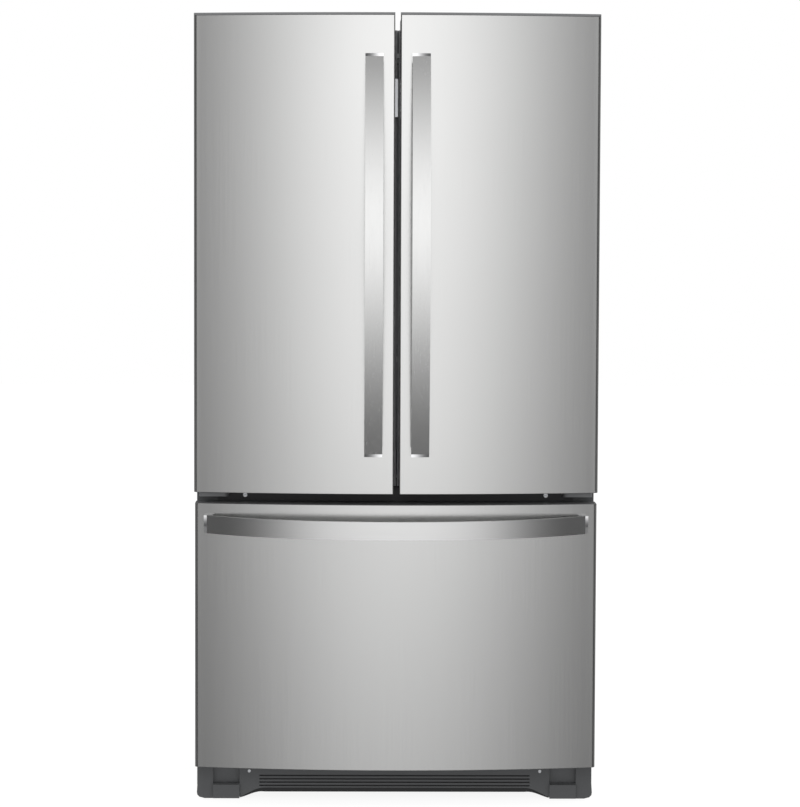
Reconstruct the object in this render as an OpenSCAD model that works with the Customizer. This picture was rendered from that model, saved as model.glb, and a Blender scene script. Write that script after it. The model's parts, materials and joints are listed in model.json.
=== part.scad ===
// French door refrigerator with a bottom freezer drawer.
// X runs to the right, Y to the back and Z up. The origin is on the floor, under the middle of the whole.

/* [Overall] */
// Width across both doors
door_span = 905; // [760:5:1090]
// Height to the tops of the doors
overall_h = 1772; // [1470:2:2130]
// Depth of the cabinet without its doors
cab_depth = 724; // [600:2:870]

/* [Fronts] */
// How far the fronts bow out between their outer edges
bow = 40; // [20:1:60]
// Thickness of the fronts at their outer edges
edge_t = 48; // [40:1:60]
// Gap between the two doors
door_gap = 12.2; // [8:0.1:18]
// Gap between the doors and the drawer
rail_gap = 24.3; // [20:0.1:32]
// Height of the drawer front
drawer_h = 597.2; // [490:0.1:720]
// Height of the drawer front above the floor
drawer_lift = 83.2; // [80:0.1:110]
// How far the doors stand above the cabinet
door_rise = 34; // [30:1:44]
// Radius of the fronts' outer vertical edges
edge_round = 8; // [4:0.5:12]
// Thickness of the steel sheet on the fronts
skin_t = 1.2; // [0.8:0.1:2]

/* [Handles] */
// How far a handle's middle stands off the front
handle_reach = 70; // [60:1:90]
// How far the ends of a door handle stand off
handle_end_reach = 25; // [18:1:55]
// How far the ends of the drawer handle stand off
drawer_handle_end = 22; // [18:1:30]
// Width of the handle bars
bar_w = 40; // [30:1:50]
// Thickness of the handle bars
bar_t = 9; // [7:0.5:14]
// Length of the polished end pieces along the bar
bar_end = 20; // [14:1:28]
// Distance of each door handle's middle from the gap's middle
handle_x = 52; // [40:1:70]

/* [Cabinet] */
// Thickness of the side walls
wall_side = 49; // [40:1:60]
// Thickness of the top wall
wall_top = 53; // [45:1:65]
// Thickness of the back wall
wall_back = 59; // [50:1:70]
// Thickness of the floor between the two compartments
divider_t = 75; // [66:1:90]
// Thickness of the plastic liners
liner_t = 2; // [1.5:0.1:3]
// Depth of the machine compartment
machine_d = 202; // [190:1:230]
// Height of the machine compartment's ceiling
machine_h = 290; // [270:1:330]

/* [Hinges] */
// Distance of a door's pin from its outer side
hinge_in = 22; // [18:0.5:28]
// Distance of a door's pin from its back face
hinge_deep = 20; // [16:0.5:24]
// Radius of the upper hinge pins
top_pin_r = 6; // [4:0.5:7]
// Radius of the lower hinge pins
low_pin_r = 5; // [4:0.5:7]
// Radial clearance of each pin in its hole
pin_play = 0.05; // [0.02:0.01:0.1]

/* [Inside] */
// Height of the vegetable drawers
crisper_h = 240; // [200:1:270]
// Thickness of the glass shelves
glass_t = 4; // [3:0.5:6]
// Depth of the upper freezer basket
basket_h = 170; // [120:1:200]
// Depth of the freezer bin
bin_h = 282; // [240:1:300]
// Thickness of the walls of bins and drawers
bin_wall = 3; // [2:0.5:4]

/* [Feet] */
// Radius of the front rollers
front_roller_r = 20; // [16:1:22]
// Radius of the rear rollers
rear_roller_r = 20; // [16:1:22]
// Radius of the leveling legs' feet
leg_foot_r = 16; // [12:1:20]

/* [Hidden] */
$fn = 48;

steel = "#b4b4b3";
steel_dark = "#6c6d6e";
grey_plastic = "#55575a";
dark_plastic = "#3a3b3d";
white_plastic = "#eceeef";
clear_plastic = "#cfdde2";
foam = "#e8dcb4";
zinc = "#a9acae";
black = "#1d1d1f";
rubber = "#8c8e90";

// Planes from front to back
seal_gap = 12;
total_depth = cab_depth + seal_gap + edge_t + bow + handle_reach;
y_back = total_depth / 2;
y_face = handle_reach - y_back;
y_corner = y_face + bow;
door_back = y_corner + edge_t;
cab_front = door_back + seal_gap;
half_span = door_span / 2;
arc_r = (half_span * half_span + bow * bow) / (2 * bow);
arc_steps = 28;

// Heights
door_top = overall_h;
drawer_top = drawer_lift + drawer_h;
door_bottom = drawer_top + rail_gap;
cab_top = door_top - door_rise;
cap_t = 10;
lip_h = 14;
lip_t = 6;
skin_drop = 5;
deck = door_top - lip_h;
rail_overlap = 30;
divider_top = door_bottom + rail_overlap;
divider_bottom = divider_top - divider_t;
freezer_floor = drawer_lift + 21;

// Cabinet
cab_half = half_span - 3.5;
sheet_t = 1.2;
back_t = 1.2;
foam_gap = 0.2;
room_half = cab_half - wall_side;
fridge_ceiling = cab_top - wall_top;
fridge_back = y_back - wall_back;
freezer_back = fridge_back - 26;
machine_front = y_back - machine_d;
step_back = machine_front - 45;
step_top = machine_h + 40;
foam_floor = 60;
wrap_bottom = 30;

// Fronts
drawer_half = half_span - 2;
hinge_x = half_span - hinge_in;
hinge_y = door_back - hinge_deep;
liner_front = door_back - liner_t;

// Center rail and its screws
rail_t = 1.5;
screw_x = hinge_x - 90.5;
screw_z = door_bottom - 12;
screw_r = 2.6;

// Handles
door_handle_lift = 85.3;
door_handle_drop = 91;
drawer_handle_side = 21.5;
drawer_handle_drop = 24.5;

// Door backs
dike_reach = 40;
dike_y = cab_front + dike_reach;
dike_in = 40;
dike_in_t = 14;
dike_out_t = 28;
dike_out = room_half - 8;
dike_low = divider_top + 13;
dike_high = fridge_ceiling - 13;
bin_reach = 102;
bin_y = cab_front + bin_reach;
bin_in = dike_in + dike_in_t + 2;
bin_out = dike_out - dike_out_t - 2;
door_bin_h = 90;
door_bin_wall = 2.5;
dairy_h = 92;
bin_hook_t = 2;
bin_hook_z = [20, 60];
bin_shares = [0.03, 0.31, 0.59];
dairy_share = 0.76;

// Seals
seal_play = 0.3;
seal_w = 16;
seal_in = 10;
seal_out = hinge_x - 2.5;
seal_low = door_bottom + 10;
seal_high = deck - 12;
flap_t = 2;
left_flap_x = -0.5;
right_flap_x = 3.2;
drawer_seal_w = 14;
drawer_seal_low = drawer_lift + 7;
drawer_seal_high = drawer_top - 4;

// Swinging mullion bar on the left door
bar_half = 12;
mullion_x = -21;
mullion_y = cab_front + bar_half;
mullion_len = 54;
mullion_low = divider_top + 25;
mullion_high = fridge_ceiling - 21;
mullion_pin_r = 4;
mullion_pin_len = 12;
bracket_t = 9.7;
bracket_x = [-33, -26.5];
groove_r = [37, 47];
guide_x = [-34, 52];
strip_z = [door_top - 228, door_top - 142];

// Shelves
shelf_front = cab_front + 115;
shelf_back = fridge_back - 16;
shelf_out = room_half - 6;
shelf_in = 8;
trim_w = 14;
crisper_low = divider_top + 10;
crisper_top = crisper_low + crisper_h;
crisper_shelf = crisper_top + 15;
crisper_front = cab_front + 120;
crisper_in = 10;
crisper_out = room_half - 28;
shelf_room = fridge_ceiling - crisper_shelf;
left_shelves = [0.27, 0.63];
right_shelves = [0.35, 0.72];
track_x = [64, room_half - 24];
track_w = 14;
track_d = 8;

// Freezer drawer and its slides
slide_play = 0.3;
slide_w = 7.4;
slide_h = 32;
slide_z = 252;
slide_front = cab_front + 12;
slide_len = step_back - cab_front - 27;
bin_side = room_half - 30;
basket_side = room_half - 22;
basket_top = divider_bottom - 62;
basket_low = basket_top - basket_h;
basket_front = cab_front + 42;
cover_y = freezer_back - 40;

// Machine compartment
fan_x = -20;
fan_y = machine_front + 100;
fan_z = 150;
fan_r = 72;
fan_hub = 20;
fan_frame = 88;
fan_frame_t = 14;
motor_r = 24;
shaft_r = 3;
compressor_x = 240;
shell_r = 78;
shell_dome = 50;
coil_r = 4;
coil_step = 34;
gland_at = [-300, 64];
gland_r = 8;
cover_y0 = y_back - 2.5;
plate_z = 40;
plate_t = 3;

// Evaporator fan
ev_fan_z = divider_bottom - 70;
ev_fan_r = 52;
ev_fan_hub = 14;
blades = 5;

// Feet
grille_y = cab_front - 12;
grille_top = 76;
grille_low = 26;
foot_x = 369;
curve_x = 296;
foot_low = 1.5;
slot_half = 307;
slot_pitch = 7.6;
slot_w = 3.3;
slot_first = 31;
slot_count = 4;
grille_t = 3;
grille_screw_x = 330;
grille_screw_z = 64;
grille_screw_r = 3.8;
grille_lug = 8;
pocket_x = [foot_x - 17, foot_x + 43];
pocket_low = 36;
foot_block_reach = 6;
apron_half = foot_x - 18;
apron_drop = 10;
leg_x = 382;
leg_y = cab_front + 44;
roller_x = 340;
front_roller_y = cab_front + 90;
rear_roller_y = y_back - 55;
roller_w = 18;
axle_r = 4;

// ---- shapes ----

module block(x, y, z)
    translate([min(x), min(y), min(z)])
        cube([abs(x[1] - x[0]), abs(y[1] - y[0]), abs(z[1] - z[0])]);

module both_sides() {
    children();
    mirror([1, 0, 0]) children();
}

module post(r, x, y, z)
    translate([x, y, z[0]]) cylinder(r = r, h = z[1] - z[0]);

module axle_x(r, x, y, z)
    translate([x[0], y, z]) rotate([0, 90, 0]) cylinder(r = r, h = x[1] - x[0]);

module axle_y(r, x, y, z)
    translate([x, y[0], z]) rotate([-90, 0, 0]) cylinder(r = r, h = y[1] - y[0]);

// A flat frame in the X-Z plane, w wide, from y[0] to y[1]
module ring(x, y, z, w)
    difference() {
        block(x, y, z);
        block([x[0] + w, x[1] - w], [y[0] - 1, y[1] + 1], [z[0] + w, z[1] - w]);
    }

// An open box, with walls and a floor of thickness t
module tray(x, y, z, t)
    difference() {
        block(x, y, z);
        block([x[0] + t, x[1] - t], [y[0] + t, y[1] - t], [z[0] + t, z[1] + 1]);
    }

// The front surface that both doors and the drawer share
function face_y(x) = y_face + arc_r - sqrt(arc_r * arc_r - x * x);

function face_arc(x0, x1, off) =
    [for (i = [0:arc_steps]) let (x = x0 + (x1 - x0) * i / arc_steps) [x, face_y(x) + off]];

// A quarter circle at an outer or inner vertical edge, side = 1 to the right and -1 to the left
function corner_arc(x, y, r, side) =
    [for (a = [0:15:90]) [x + side * r * sin(a), y + r - r * cos(a)]];

function reversed(p) = [for (i = [len(p) - 1:-1:0]) p[i]];

// Outline of a front seen from above, from x0 to x1, with each corner's radius, drawn in by inset
function front_outline(x0, x1, r0, r1, back, inset) =
    let (a = x0 + r0, b = x1 - r1)
    concat(
        [[x0 + inset, back]],
        reversed(corner_arc(a, face_y(a) + inset, r0 - inset, -1)),
        face_arc(a, b, inset),
        corner_arc(b, face_y(b) + inset, r1 - inset, 1),
        [[x1 - inset, back]]);

inner_round = 3;

module door_shape(z, back, inset)
    translate([0, 0, z[0]])
        linear_extrude(z[1] - z[0])
            polygon(front_outline(door_gap / 2, half_span, inner_round, edge_round, back, inset));

module drawer_shape(z, back, inset)
    translate([0, 0, z[0]])
        linear_extrude(z[1] - z[0])
            polygon(front_outline(-drawer_half, drawer_half, edge_round, edge_round, back, inset));

module left() mirror([1, 0, 0]) children();

// ---- doors (drawn on the right, mirrored for the left) ----

module door_skin_shape()
    difference() {
        door_shape([door_bottom, door_top - skin_drop], door_back, 0);
        door_shape([door_bottom - 1, door_top], door_back + 1, skin_t);
        translate([0, lip_t, 0])
            door_shape([deck, door_top], door_back + 1, -1);
    }

module door_lip(z, inset)
    difference() {
        door_shape(z, door_back, inset);
        translate([0, lip_t, 0])
            door_shape([z[0] - 1, z[1] + 1], door_back + 1, -1);
    }

module door_caps_shape() {
    difference() {
        union() {
            door_shape([deck - cap_t, deck], door_back, skin_t);
            door_lip([deck - cap_t, door_top - skin_drop], skin_t);
            door_lip([door_top - skin_drop, door_top], 0);
        }
        post(top_pin_r + pin_play, hinge_x, hinge_y, [deck - cap_t - 1, deck + 1]);
    }
    difference() {
        door_shape([door_bottom, door_bottom + cap_t], door_back, skin_t);
        post(low_pin_r + pin_play, hinge_x, hinge_y, [door_bottom - 1, door_bottom + cap_t + 1]);
    }
}

module door_core_shape()
    door_shape([door_bottom + cap_t, deck - cap_t], liner_front, skin_t);

module door_liner_shape() {
    dike_z = [dike_low, dike_high];
    block([door_gap / 2 + skin_t, half_span - skin_t], [liner_front, door_back],
        [door_bottom + cap_t, deck - cap_t]);
    block([dike_in, dike_in + dike_in_t], [door_back, dike_y], dike_z);
    block([dike_out - dike_out_t, dike_out], [door_back, dike_y], dike_z);
    block([dike_in, dike_out], [door_back, dike_y], [dike_low, dike_low + dike_in_t]);
    block([dike_in, dike_out], [door_back, dike_y], [dike_high - dike_in_t, dike_high]);
}

module door_gasket_shape(flap_x) {
    seal_z = [seal_low, seal_high];
    ring([seal_in, seal_out], [door_back, cab_front - seal_play], seal_z, seal_w);
    block([flap_x, seal_in], [door_back + 1, door_back + 1 + flap_t], [seal_low, cab_top]);
}

function bin_z(share) = dike_low + (dike_high - dike_low) * share;

module door_bin(z, h) {
    tray([bin_in, bin_out], [door_back, bin_y], [z, z + h], door_bin_wall);
    hook_z = [z + bin_hook_z[0], z + bin_hook_z[1]];
    block([bin_in - bin_hook_t, bin_in], [door_back, dike_y], hook_z);
    block([bin_out, bin_out + bin_hook_t], [door_back, dike_y], hook_z);
}

// Side view of a door handle: [y, z] points of a bar that bows out from its end blocks
module door_handle_shape() {
    z0 = door_bottom + door_handle_lift;
    z1 = door_top - door_handle_drop;
    mid = (z0 + z1) / 2;
    half = (z1 - z0) / 2;
    skin_y = face_y(handle_x);
    rise = handle_reach - handle_end_reach;
    front = [for (i = [0:24]) let (t = -1 + i / 12)
        [skin_y - handle_end_reach - rise * (1 - t * t), mid + t * half]];
    inner = [for (i = [0:24]) let (t = 1 - i / 12)
        [skin_y - handle_end_reach - rise * (1 - t * t) + bar_t, mid + t * (half - bar_end)]];
    profile = concat(front, [[y_corner, z1], [y_corner, z1 - bar_end]], inner,
        [[y_corner, z0 + bar_end], [y_corner, z0]]);
    difference() {
        translate([handle_x - bar_w / 2, 0, 0])
            multmatrix([[0, 0, 1, 0], [1, 0, 0, 0], [0, 1, 0, 0], [0, 0, 0, 1]])
                linear_extrude(bar_w)
                    polygon(profile);
        door_shape([z0 - 1, z1 + 1], door_back, 0);
    }
}

// ---- cabinet ----

module cabinet_wrapper() color(steel_dark) {
    difference() {
        block([-cab_half, cab_half], [cab_front, y_back - back_t], [wrap_bottom, cab_top]);
        block([-cab_half + sheet_t, cab_half - sheet_t], [cab_front + sheet_t, y_back],
            [wrap_bottom - 1, cab_top - sheet_t]);
        block([-room_half - liner_t, room_half + liner_t], [cab_front - 1, cab_front + 2],
            [divider_bottom + liner_t, fridge_ceiling + liner_t]);
        block([-room_half - liner_t, room_half + liner_t], [cab_front - 1, cab_front + 2],
            [freezer_floor - liner_t, divider_bottom + liner_t + 1]);
    }
}

module back_panel() color(zinc)
    block([-cab_half, cab_half], [y_back - back_t, y_back], [machine_h + 2, cab_top]);

// Foam slabs, each a box of its own
module cabinet_insulation() color(foam) {
    g = foam_gap;
    x = room_half + liner_t;
    side = cab_half - sheet_t;
    y0 = cab_front + sheet_t;
    y1 = y_back - back_t;
    both_sides() block([x + g, side], [y0, y1], [wrap_bottom, cab_top - sheet_t]);
    block([-x, x], [y0, y1], [fridge_ceiling + liner_t, cab_top - sheet_t]);
    block([-x, x], [fridge_back + liner_t, y1], [divider_top, fridge_ceiling + liner_t - g]);
    block([-x, x], [cab_front + rail_t, y1], [divider_bottom + liner_t, divider_top - liner_t]);
    block([-x, x], [freezer_back + liner_t, y1], [machine_h + 2, divider_bottom + liner_t - g]);
    block([-x, x], [machine_front, freezer_back + liner_t - g], [machine_h + 2, step_top - liner_t]);
    block([-x, x], [step_back + liner_t, machine_front - g], [foam_floor, step_top - liner_t]);
    block([-x, x], [y0, step_back + liner_t - g], [foam_floor, freezer_floor - liner_t]);
}

module fridge_liner() color(white_plastic) {
    x = room_half + liner_t;
    difference() {
        block([-x, x], [cab_front, fridge_back + liner_t],
            [divider_top - liner_t, fridge_ceiling + liner_t]);
        block([-room_half, room_half], [cab_front - 1, fridge_back], [divider_top, fridge_ceiling]);
    }
    rib_y = [crisper_front + 8, fridge_back - 18];
    both_sides() {
        block([crisper_in + 8, crisper_in + 16], rib_y, [divider_top, crisper_low - 0.3]);
        block([crisper_out - 16, crisper_out - 8], rib_y, [divider_top, crisper_low - 0.3]);
    }
}

module freezer_liner() color(white_plastic) {
    x = room_half + liner_t;
    z1 = divider_bottom;
    difference() {
        union() {
            block([-x, x], [cab_front, step_back + liner_t], [freezer_floor - liner_t, z1 + liner_t]);
            block([-x, x], [step_back, freezer_back + liner_t], [step_top - liner_t, z1 + liner_t]);
        }
        block([-room_half, room_half], [cab_front - 1, step_back], [freezer_floor, z1]);
        block([-room_half, room_half], [step_back - 1, freezer_back], [step_top, z1]);
    }
    both_sides()
        block([basket_side + 4, room_half], [basket_front + 10, cover_y - 10],
            [basket_top - 16, basket_top - 5.3]);
}

module center_rail() color(dark_plastic) {
    x = room_half + liner_t;
    difference() {
        block([-x, x], [cab_front, cab_front + rail_t], [divider_bottom + liner_t, divider_top - liner_t]);
        both_sides() axle_y(screw_r + 0.2, screw_x, [cab_front - 1, cab_front + 2], screw_z);
    }
}

// Half of the toe grille's lower edge: flat under the foot, then an S-curve up to the middle
function low_edge(drop) = [for (i = [0:16]) let (t = i / 16)
    [foot_x - (foot_x - curve_x) * t,
     foot_low + (grille_low - foot_low) * (0.5 - 0.5 * cos(180 * t)) - drop * t]];

module grille_shape(depth, y, drop, top, out) {
    edge = concat(low_edge(drop), [for (p = reversed(low_edge(drop))) [-p[0], p[1]]]);
    corner = [[foot_x + 62, foot_low], [out - 6, foot_low + 3], [out - 1, foot_low + 8], [out, foot_low + 14],
        [out - 4, top]];
    side = [for (p = corner) [-p[0], p[1]]];
    translate([0, y + depth, 0]) rotate([90, 0, 0])
        linear_extrude(depth)
            polygon(concat(edge, side, reversed(corner)));
}

module toe_grille() color(grey_plastic) {
    foot_out = cab_half;
    difference() {
        grille_shape(grille_t, grille_y, 0, grille_top, foot_out);
        for (i = [0:slot_count - 1])
            block([-slot_half, slot_half], [grille_y - 1, grille_y + grille_t + 1],
                [slot_first + i * slot_pitch - slot_w / 2, slot_first + i * slot_pitch + slot_w / 2]);
        both_sides() {
            block(pocket_x, [grille_y - 1, grille_y + grille_t + 1], [pocket_low, grille_top - 4]);
            axle_y(grille_screw_r + 0.2, grille_screw_x, [grille_y - 1, grille_y + grille_t + 1],
                grille_screw_z);
        }
    }
    both_sides() {
        block(pocket_x, [grille_y - foot_block_reach, grille_y], [foot_low + 1, pocket_low - 2]);
        block([foot_out - 12, foot_out - 9], [grille_y + grille_t, cab_front], [20, grille_top - 8]);
        difference() {
            block([grille_screw_x - grille_lug, grille_screw_x + grille_lug],
                [grille_y + grille_t, cab_front],
                [grille_screw_z - grille_lug, grille_screw_z + grille_lug]);
            axle_y(grille_screw_r + 0.2, grille_screw_x, [grille_y, cab_front + 1], grille_screw_z);
        }
    }
}

module base_frame() color(black) {
    in = room_half;
    pan_front = cab_front + sheet_t;
    difference() {
        union() {
            block([-in, in], [pan_front, y_back - 6], [plate_z - plate_t, plate_z]);
            both_sides()
                block([in - plate_t, in], [pan_front, y_back - 6], [plate_z - plate_t, foam_floor]);
            block([-in, in], [pan_front, pan_front + plate_t], [plate_z, foam_floor]);
        }
        both_sides() {
            post(8, leg_x, leg_y, [plate_z - 4, plate_z + 1]);
            for (y = [front_roller_y, rear_roller_y])
                block([roller_x - roller_w / 2 - 2, roller_x + roller_w / 2 + 2], [y - 24, y + 24],
                    [plate_z - 4, plate_z + 1]);
        }
    }
    difference() {
        intersection() {
            grille_shape(plate_t, grille_y + grille_t + 0.5, apron_drop, grille_top - 6, cab_half);
            block([-apron_half, apron_half], [grille_y, cab_front], [0, grille_top]);
        }
        both_sides()
            axle_y(grille_lug + 4, grille_screw_x, [grille_y, cab_front], grille_screw_z);
    }
    block([-curve_x, curve_x], [grille_y + grille_t + 0.5 + plate_t, cab_front],
        [plate_z - plate_t, plate_z]);
    both_sides() {
        post(12, leg_x, leg_y, [plate_z, plate_z + 12]);
        for (p = [[front_roller_y, front_roller_r + 2], [rear_roller_y, rear_roller_r]]) {
            for (s = [-1, 1])
                block([roller_x + s * (roller_w / 2 + 2), roller_x + s * (roller_w / 2 + 5)],
                    [p[0] - 14, p[0] + 14], [p[1] - 8, plate_z - plate_t]);
            axle_x(axle_r, [roller_x - roller_w / 2 - 6, roller_x + roller_w / 2 + 6], p[0], p[1]);
        }
    }
}

module screw_head(x, y, z)
    difference() {
        union() {
            axle_y(5, x, [y - 2.2, y], z);
            axle_y(screw_r, x, [y, y + rail_t], z);
        }
        block([x - 3, x + 3], [y - 3, y - 1.4], [z - 0.5, z + 0.5]);
    }

module cabinet_screws() color(zinc)
    both_sides() {
        screw_head(screw_x, cab_front, screw_z);
        axle_y(grille_screw_r, grille_screw_x, [grille_y - 0.5, cab_front], grille_screw_z);
    }

module leveling_legs() color(zinc)
    both_sides() {
        post(leg_foot_r, leg_x, leg_y, [0, 8]);
        post(11, leg_x, leg_y, [8, 14]);
        post(6, leg_x, leg_y, [14, plate_z]);
    }

module roller(y, z)
    both_sides()
        difference() {
            union() {
                axle_x(z[1], [roller_x - roller_w / 2, roller_x + roller_w / 2], y, z[0]);
                axle_x(8, [roller_x - roller_w / 2 - 1, roller_x + roller_w / 2 + 1], y, z[0]);
            }
            axle_x(axle_r + pin_play, [roller_x - roller_w, roller_x + roller_w], y, z[0]);
        }

module front_rollers() color(dark_plastic)
    roller(front_roller_y, [front_roller_r + 2, front_roller_r]);

module rear_rollers() color(dark_plastic)
    roller(rear_roller_y, [rear_roller_r, rear_roller_r]);

// ---- hinges ----

arm_half = 8;
arm_front = cab_front + 6;
plate_x = [hinge_x - 92, hinge_x + 12];
hinge_plate_t = 3;
cover_wall = 3;
cover_x = [hinge_x - 100, cab_half - 2];
cover_back = cab_front + 110;
low_arm_x = [hinge_x - 54, hinge_x + 11.5];
low_arm_r = 10;

module top_hinges() color(zinc)
    both_sides() {
        arm_z = [deck + 2, deck + 6];
        block(plate_x, [arm_front, cab_front + 92], [cab_top, cab_top + hinge_plate_t]);
        block([hinge_x - arm_half, hinge_x + arm_half], [arm_front, arm_front + 20],
            [cab_top + hinge_plate_t, arm_z[1]]);
        block([hinge_x - arm_half, hinge_x + arm_half], [hinge_y, arm_front], arm_z);
        post(arm_half, hinge_x, hinge_y, arm_z);
        post(top_pin_r, hinge_x, hinge_y, [deck - cap_t + 1, arm_z[0]]);
        for (x = [hinge_x - 70, hinge_x - 30])
            post(6, x, cab_front + 64, [cab_top + hinge_plate_t, cab_top + hinge_plate_t + 5]);
    }

module hinge_covers() color(grey_plastic)
    both_sides()
        difference() {
            block(cover_x, [cab_front + 1, cover_back], [cab_top, door_top - 3]);
            block([cover_x[0] + cover_wall, cover_x[1] - cover_wall],
                [cab_front + 1 + cover_wall, cover_back - cover_wall],
                [cab_top - 1, door_top - 3 - cover_wall]);
            block([hinge_x - arm_half - 2, hinge_x + arm_half + 2], [cab_front, cab_front + 5],
                [deck + 1, deck + 7.5]);
        }

module center_hinges() color(steel_dark)
    both_sides() {
        arm_z = [door_bottom - 11.7, door_bottom - 1.7];
        x = low_arm_x;
        r = low_arm_r;
        block(x, [hinge_y - 2, cab_front], arm_z);
        block([x[0] + r, x[1] - r], [hinge_y - 2 - r, hinge_y - 2], arm_z);
        for (cx = [x[0] + r, x[1] - r])
            post(r, cx, hinge_y - 2, arm_z);
        post(low_pin_r, hinge_x, hinge_y, [arm_z[1], door_bottom + cap_t - 1]);
    }

// Ceiling block whose curved groove turns the swinging bar
module mullion_guide() color(white_plastic) {
    top = fridge_ceiling;
    difference() {
        block(guide_x, [cab_front + 2, cab_front + 72], [top - 8, top]);
        difference() {
            post(groove_r[1], mullion_x, mullion_y, [top - 9, top - 3]);
            post(groove_r[0], mullion_x, mullion_y, [top - 10, top - 2]);
        }
    }
}

module flipper_brackets() color(zinc) {
    for (z = [mullion_high + slide_play, mullion_low - slide_play - bracket_t]) {
        block(bracket_x, [door_back, mullion_y + bar_half], [z, z + bracket_t]);
        block([bracket_x[0], mullion_x + 8], [cab_front + 0.5, mullion_y + bar_half], [z, z + bracket_t]);
    }
    post(mullion_pin_r, mullion_x, mullion_y,
        [mullion_high - mullion_pin_len + 1, mullion_high + slide_play]);
    post(mullion_pin_r, mullion_x, mullion_y,
        [mullion_low - slide_play, mullion_low + mullion_pin_len - 1]);
    block([-door_gap / 2, door_gap / 2 - 3.8], [door_back - 11, door_back - 8], strip_z);
    block([-door_gap / 2, -1.4], [door_back - 8, door_back], strip_z);
}

module flipper_mullion() color(white_plastic)
    difference() {
        union() {
            post(bar_half, mullion_x, mullion_y, [mullion_low, mullion_high]);
            block([mullion_x - bar_half, mullion_x + bar_half],
                [mullion_y, mullion_y + mullion_len], [mullion_low, mullion_high]);
        }
        for (z = [mullion_low - 1, mullion_high - mullion_pin_len])
            post(mullion_pin_r + pin_play, mullion_x, mullion_y, [z, z + mullion_pin_len + 1]);
    }

// ---- machine compartment ----

module compressor() color(black) {
    x = compressor_x;
    y = machine_front + 100;
    translate([x, y, plate_z + 18])
        rotate_extrude()
            polygon(concat(
                [[0, 0], [shell_r - 12, 0], [shell_r - 4, 10], [shell_r, 22], [shell_r, 104]],
                [for (a = [15:15:90]) [shell_r * cos(a), 104 + shell_dome * sin(a)]]));
    for (p = [[-70, -55], [70, -55], [-70, 55], [70, 55]])
        post(12, x + p[0], y + p[1], [plate_z, plate_z + 14]);
    block([x - 88, x + 88], [y - 70, y + 70], [plate_z + 14, plate_z + 18]);
    axle_x(6, [x - 120, x - 60], y - 30, plate_z + 70);
    block([x + 70, x + 104], [y - 30, y + 30], [plate_z + 50, plate_z + 110]);
}

module condenser_coil() color(black) {
    x0 = -room_half + 30;
    x1 = fan_x - 60;
    y0 = machine_front + 28;
    for (row = [0:3])
        for (col = [0:4])
            axle_x(coil_r, [x0, x1], y0 + 14 + col * 30, 100 + row * coil_step);
    for (i = [0:11])
        block([x0 + 8 + i * (x1 - x0 - 17) / 11, x0 + 9 + i * (x1 - x0 - 17) / 11],
            [y0, y0 + 148], [86, 216]);
}

module fan_blades(r, hub, n, t, w)
    for (i = [0:n - 1])
        rotate([0, 0, i * 360 / n])
            translate([hub - 3, 0, 0])
                rotate([28, 0, 0])
                    translate([0, -w / 2, -t / 2])
                        cube([r - hub + 3, w, t]);

module fan_shroud() color(dark_plastic) {
    difference() {
        block([fan_x - fan_frame_t, fan_x + fan_frame_t], [fan_y - fan_frame, fan_y + fan_frame],
            [plate_z, fan_z + fan_frame]);
        axle_x(fan_r + 5, [fan_x - 15, fan_x + 15], fan_y, fan_z);
    }
    axle_x(motor_r, [fan_x + 24, fan_x + 60], fan_y, fan_z);
    axle_x(shaft_r, [fan_x + 4, fan_x + 24], fan_y, fan_z);
    for (s = [-1, 1])
        block([fan_x + fan_frame_t, fan_x + 40], [fan_y + s * 81, fan_y + s * 86], [fan_z - 5, fan_z + 5]);
    block([fan_x + 36, fan_x + 40], [fan_y - 86, fan_y + 86], [fan_z - 5, fan_z + 5]);
}

module condenser_fan() color(white_plastic)
    difference() {
        translate([fan_x, fan_y, fan_z]) rotate([0, 90, 0]) {
            translate([0, 0, -12]) cylinder(r = fan_hub, h = 24);
            fan_blades(fan_r, fan_hub, blades, 2, 26);
        }
        axle_x(shaft_r + pin_play, [fan_x + 3, fan_x + 20], fan_y, fan_z);
    }

module drain_pan() color(grey_plastic)
    tray([-room_half + 24, fan_x - 40], [machine_front + 20, machine_front + 180],
        [plate_z, plate_z + 34], 2);

// Vented cover of the machine compartment, with the gland for the supply cord
module machine_cover() color(zinc) {
    difference() {
        block([-room_half, room_half], [cover_y0 - 1.5, cover_y0], [plate_z + 4, machine_h]);
        for (row = [0:7])
            for (s = [-1, 1])
                block([s * 60, s * (room_half - 60)], [y_back - 6, y_back],
                    [90 + row * 20, 96 + row * 20]);
        axle_y(gland_r, gland_at[0], [y_back - 6, y_back], gland_at[1]);
    }
    difference() {
        union() {
            axle_y(gland_r, gland_at[0], [y_back - 8, cover_y0], gland_at[1]);
            axle_y(gland_r * 1.5, gland_at[0], [cover_y0, y_back], gland_at[1]);
        }
        axle_y(gland_r / 2, gland_at[0], [y_back - 9, y_back + 1], gland_at[1]);
    }
}

module evaporator_coil() color(zinc) {
    y = (cover_y + freezer_back) / 2 + 2;
    z0 = step_top + 20;
    half = room_half - 60;
    for (row = [0:4])
        axle_x(coil_r, [-half, half], y, z0 + row * coil_step);
    for (i = [0:15])
        block([-half + 10 + i * (2 * half - 21) / 15, -half + 11 + i * (2 * half - 21) / 15],
            [y - 13, y + 13], [z0 - 12, z0 + 148]);
}

module evaporator_cover() color(white_plastic) {
    difference() {
        block([-room_half + 4, room_half - 4], [cover_y, cover_y + 4], [step_top + 2, divider_bottom - 2]);
        axle_y(ev_fan_r + 4, 0, [cover_y - 1, cover_y + 5], ev_fan_z);
        for (i = [0:6])
            block([-240 + i * 70, -190 + i * 70], [cover_y - 1, cover_y + 5],
                [step_top + 12, step_top + 18]);
    }
    axle_y(16, 0, [cover_y + 20, freezer_back], ev_fan_z);
    axle_y(shaft_r, 0, [cover_y + 6, cover_y + 20], ev_fan_z);
}

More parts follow.
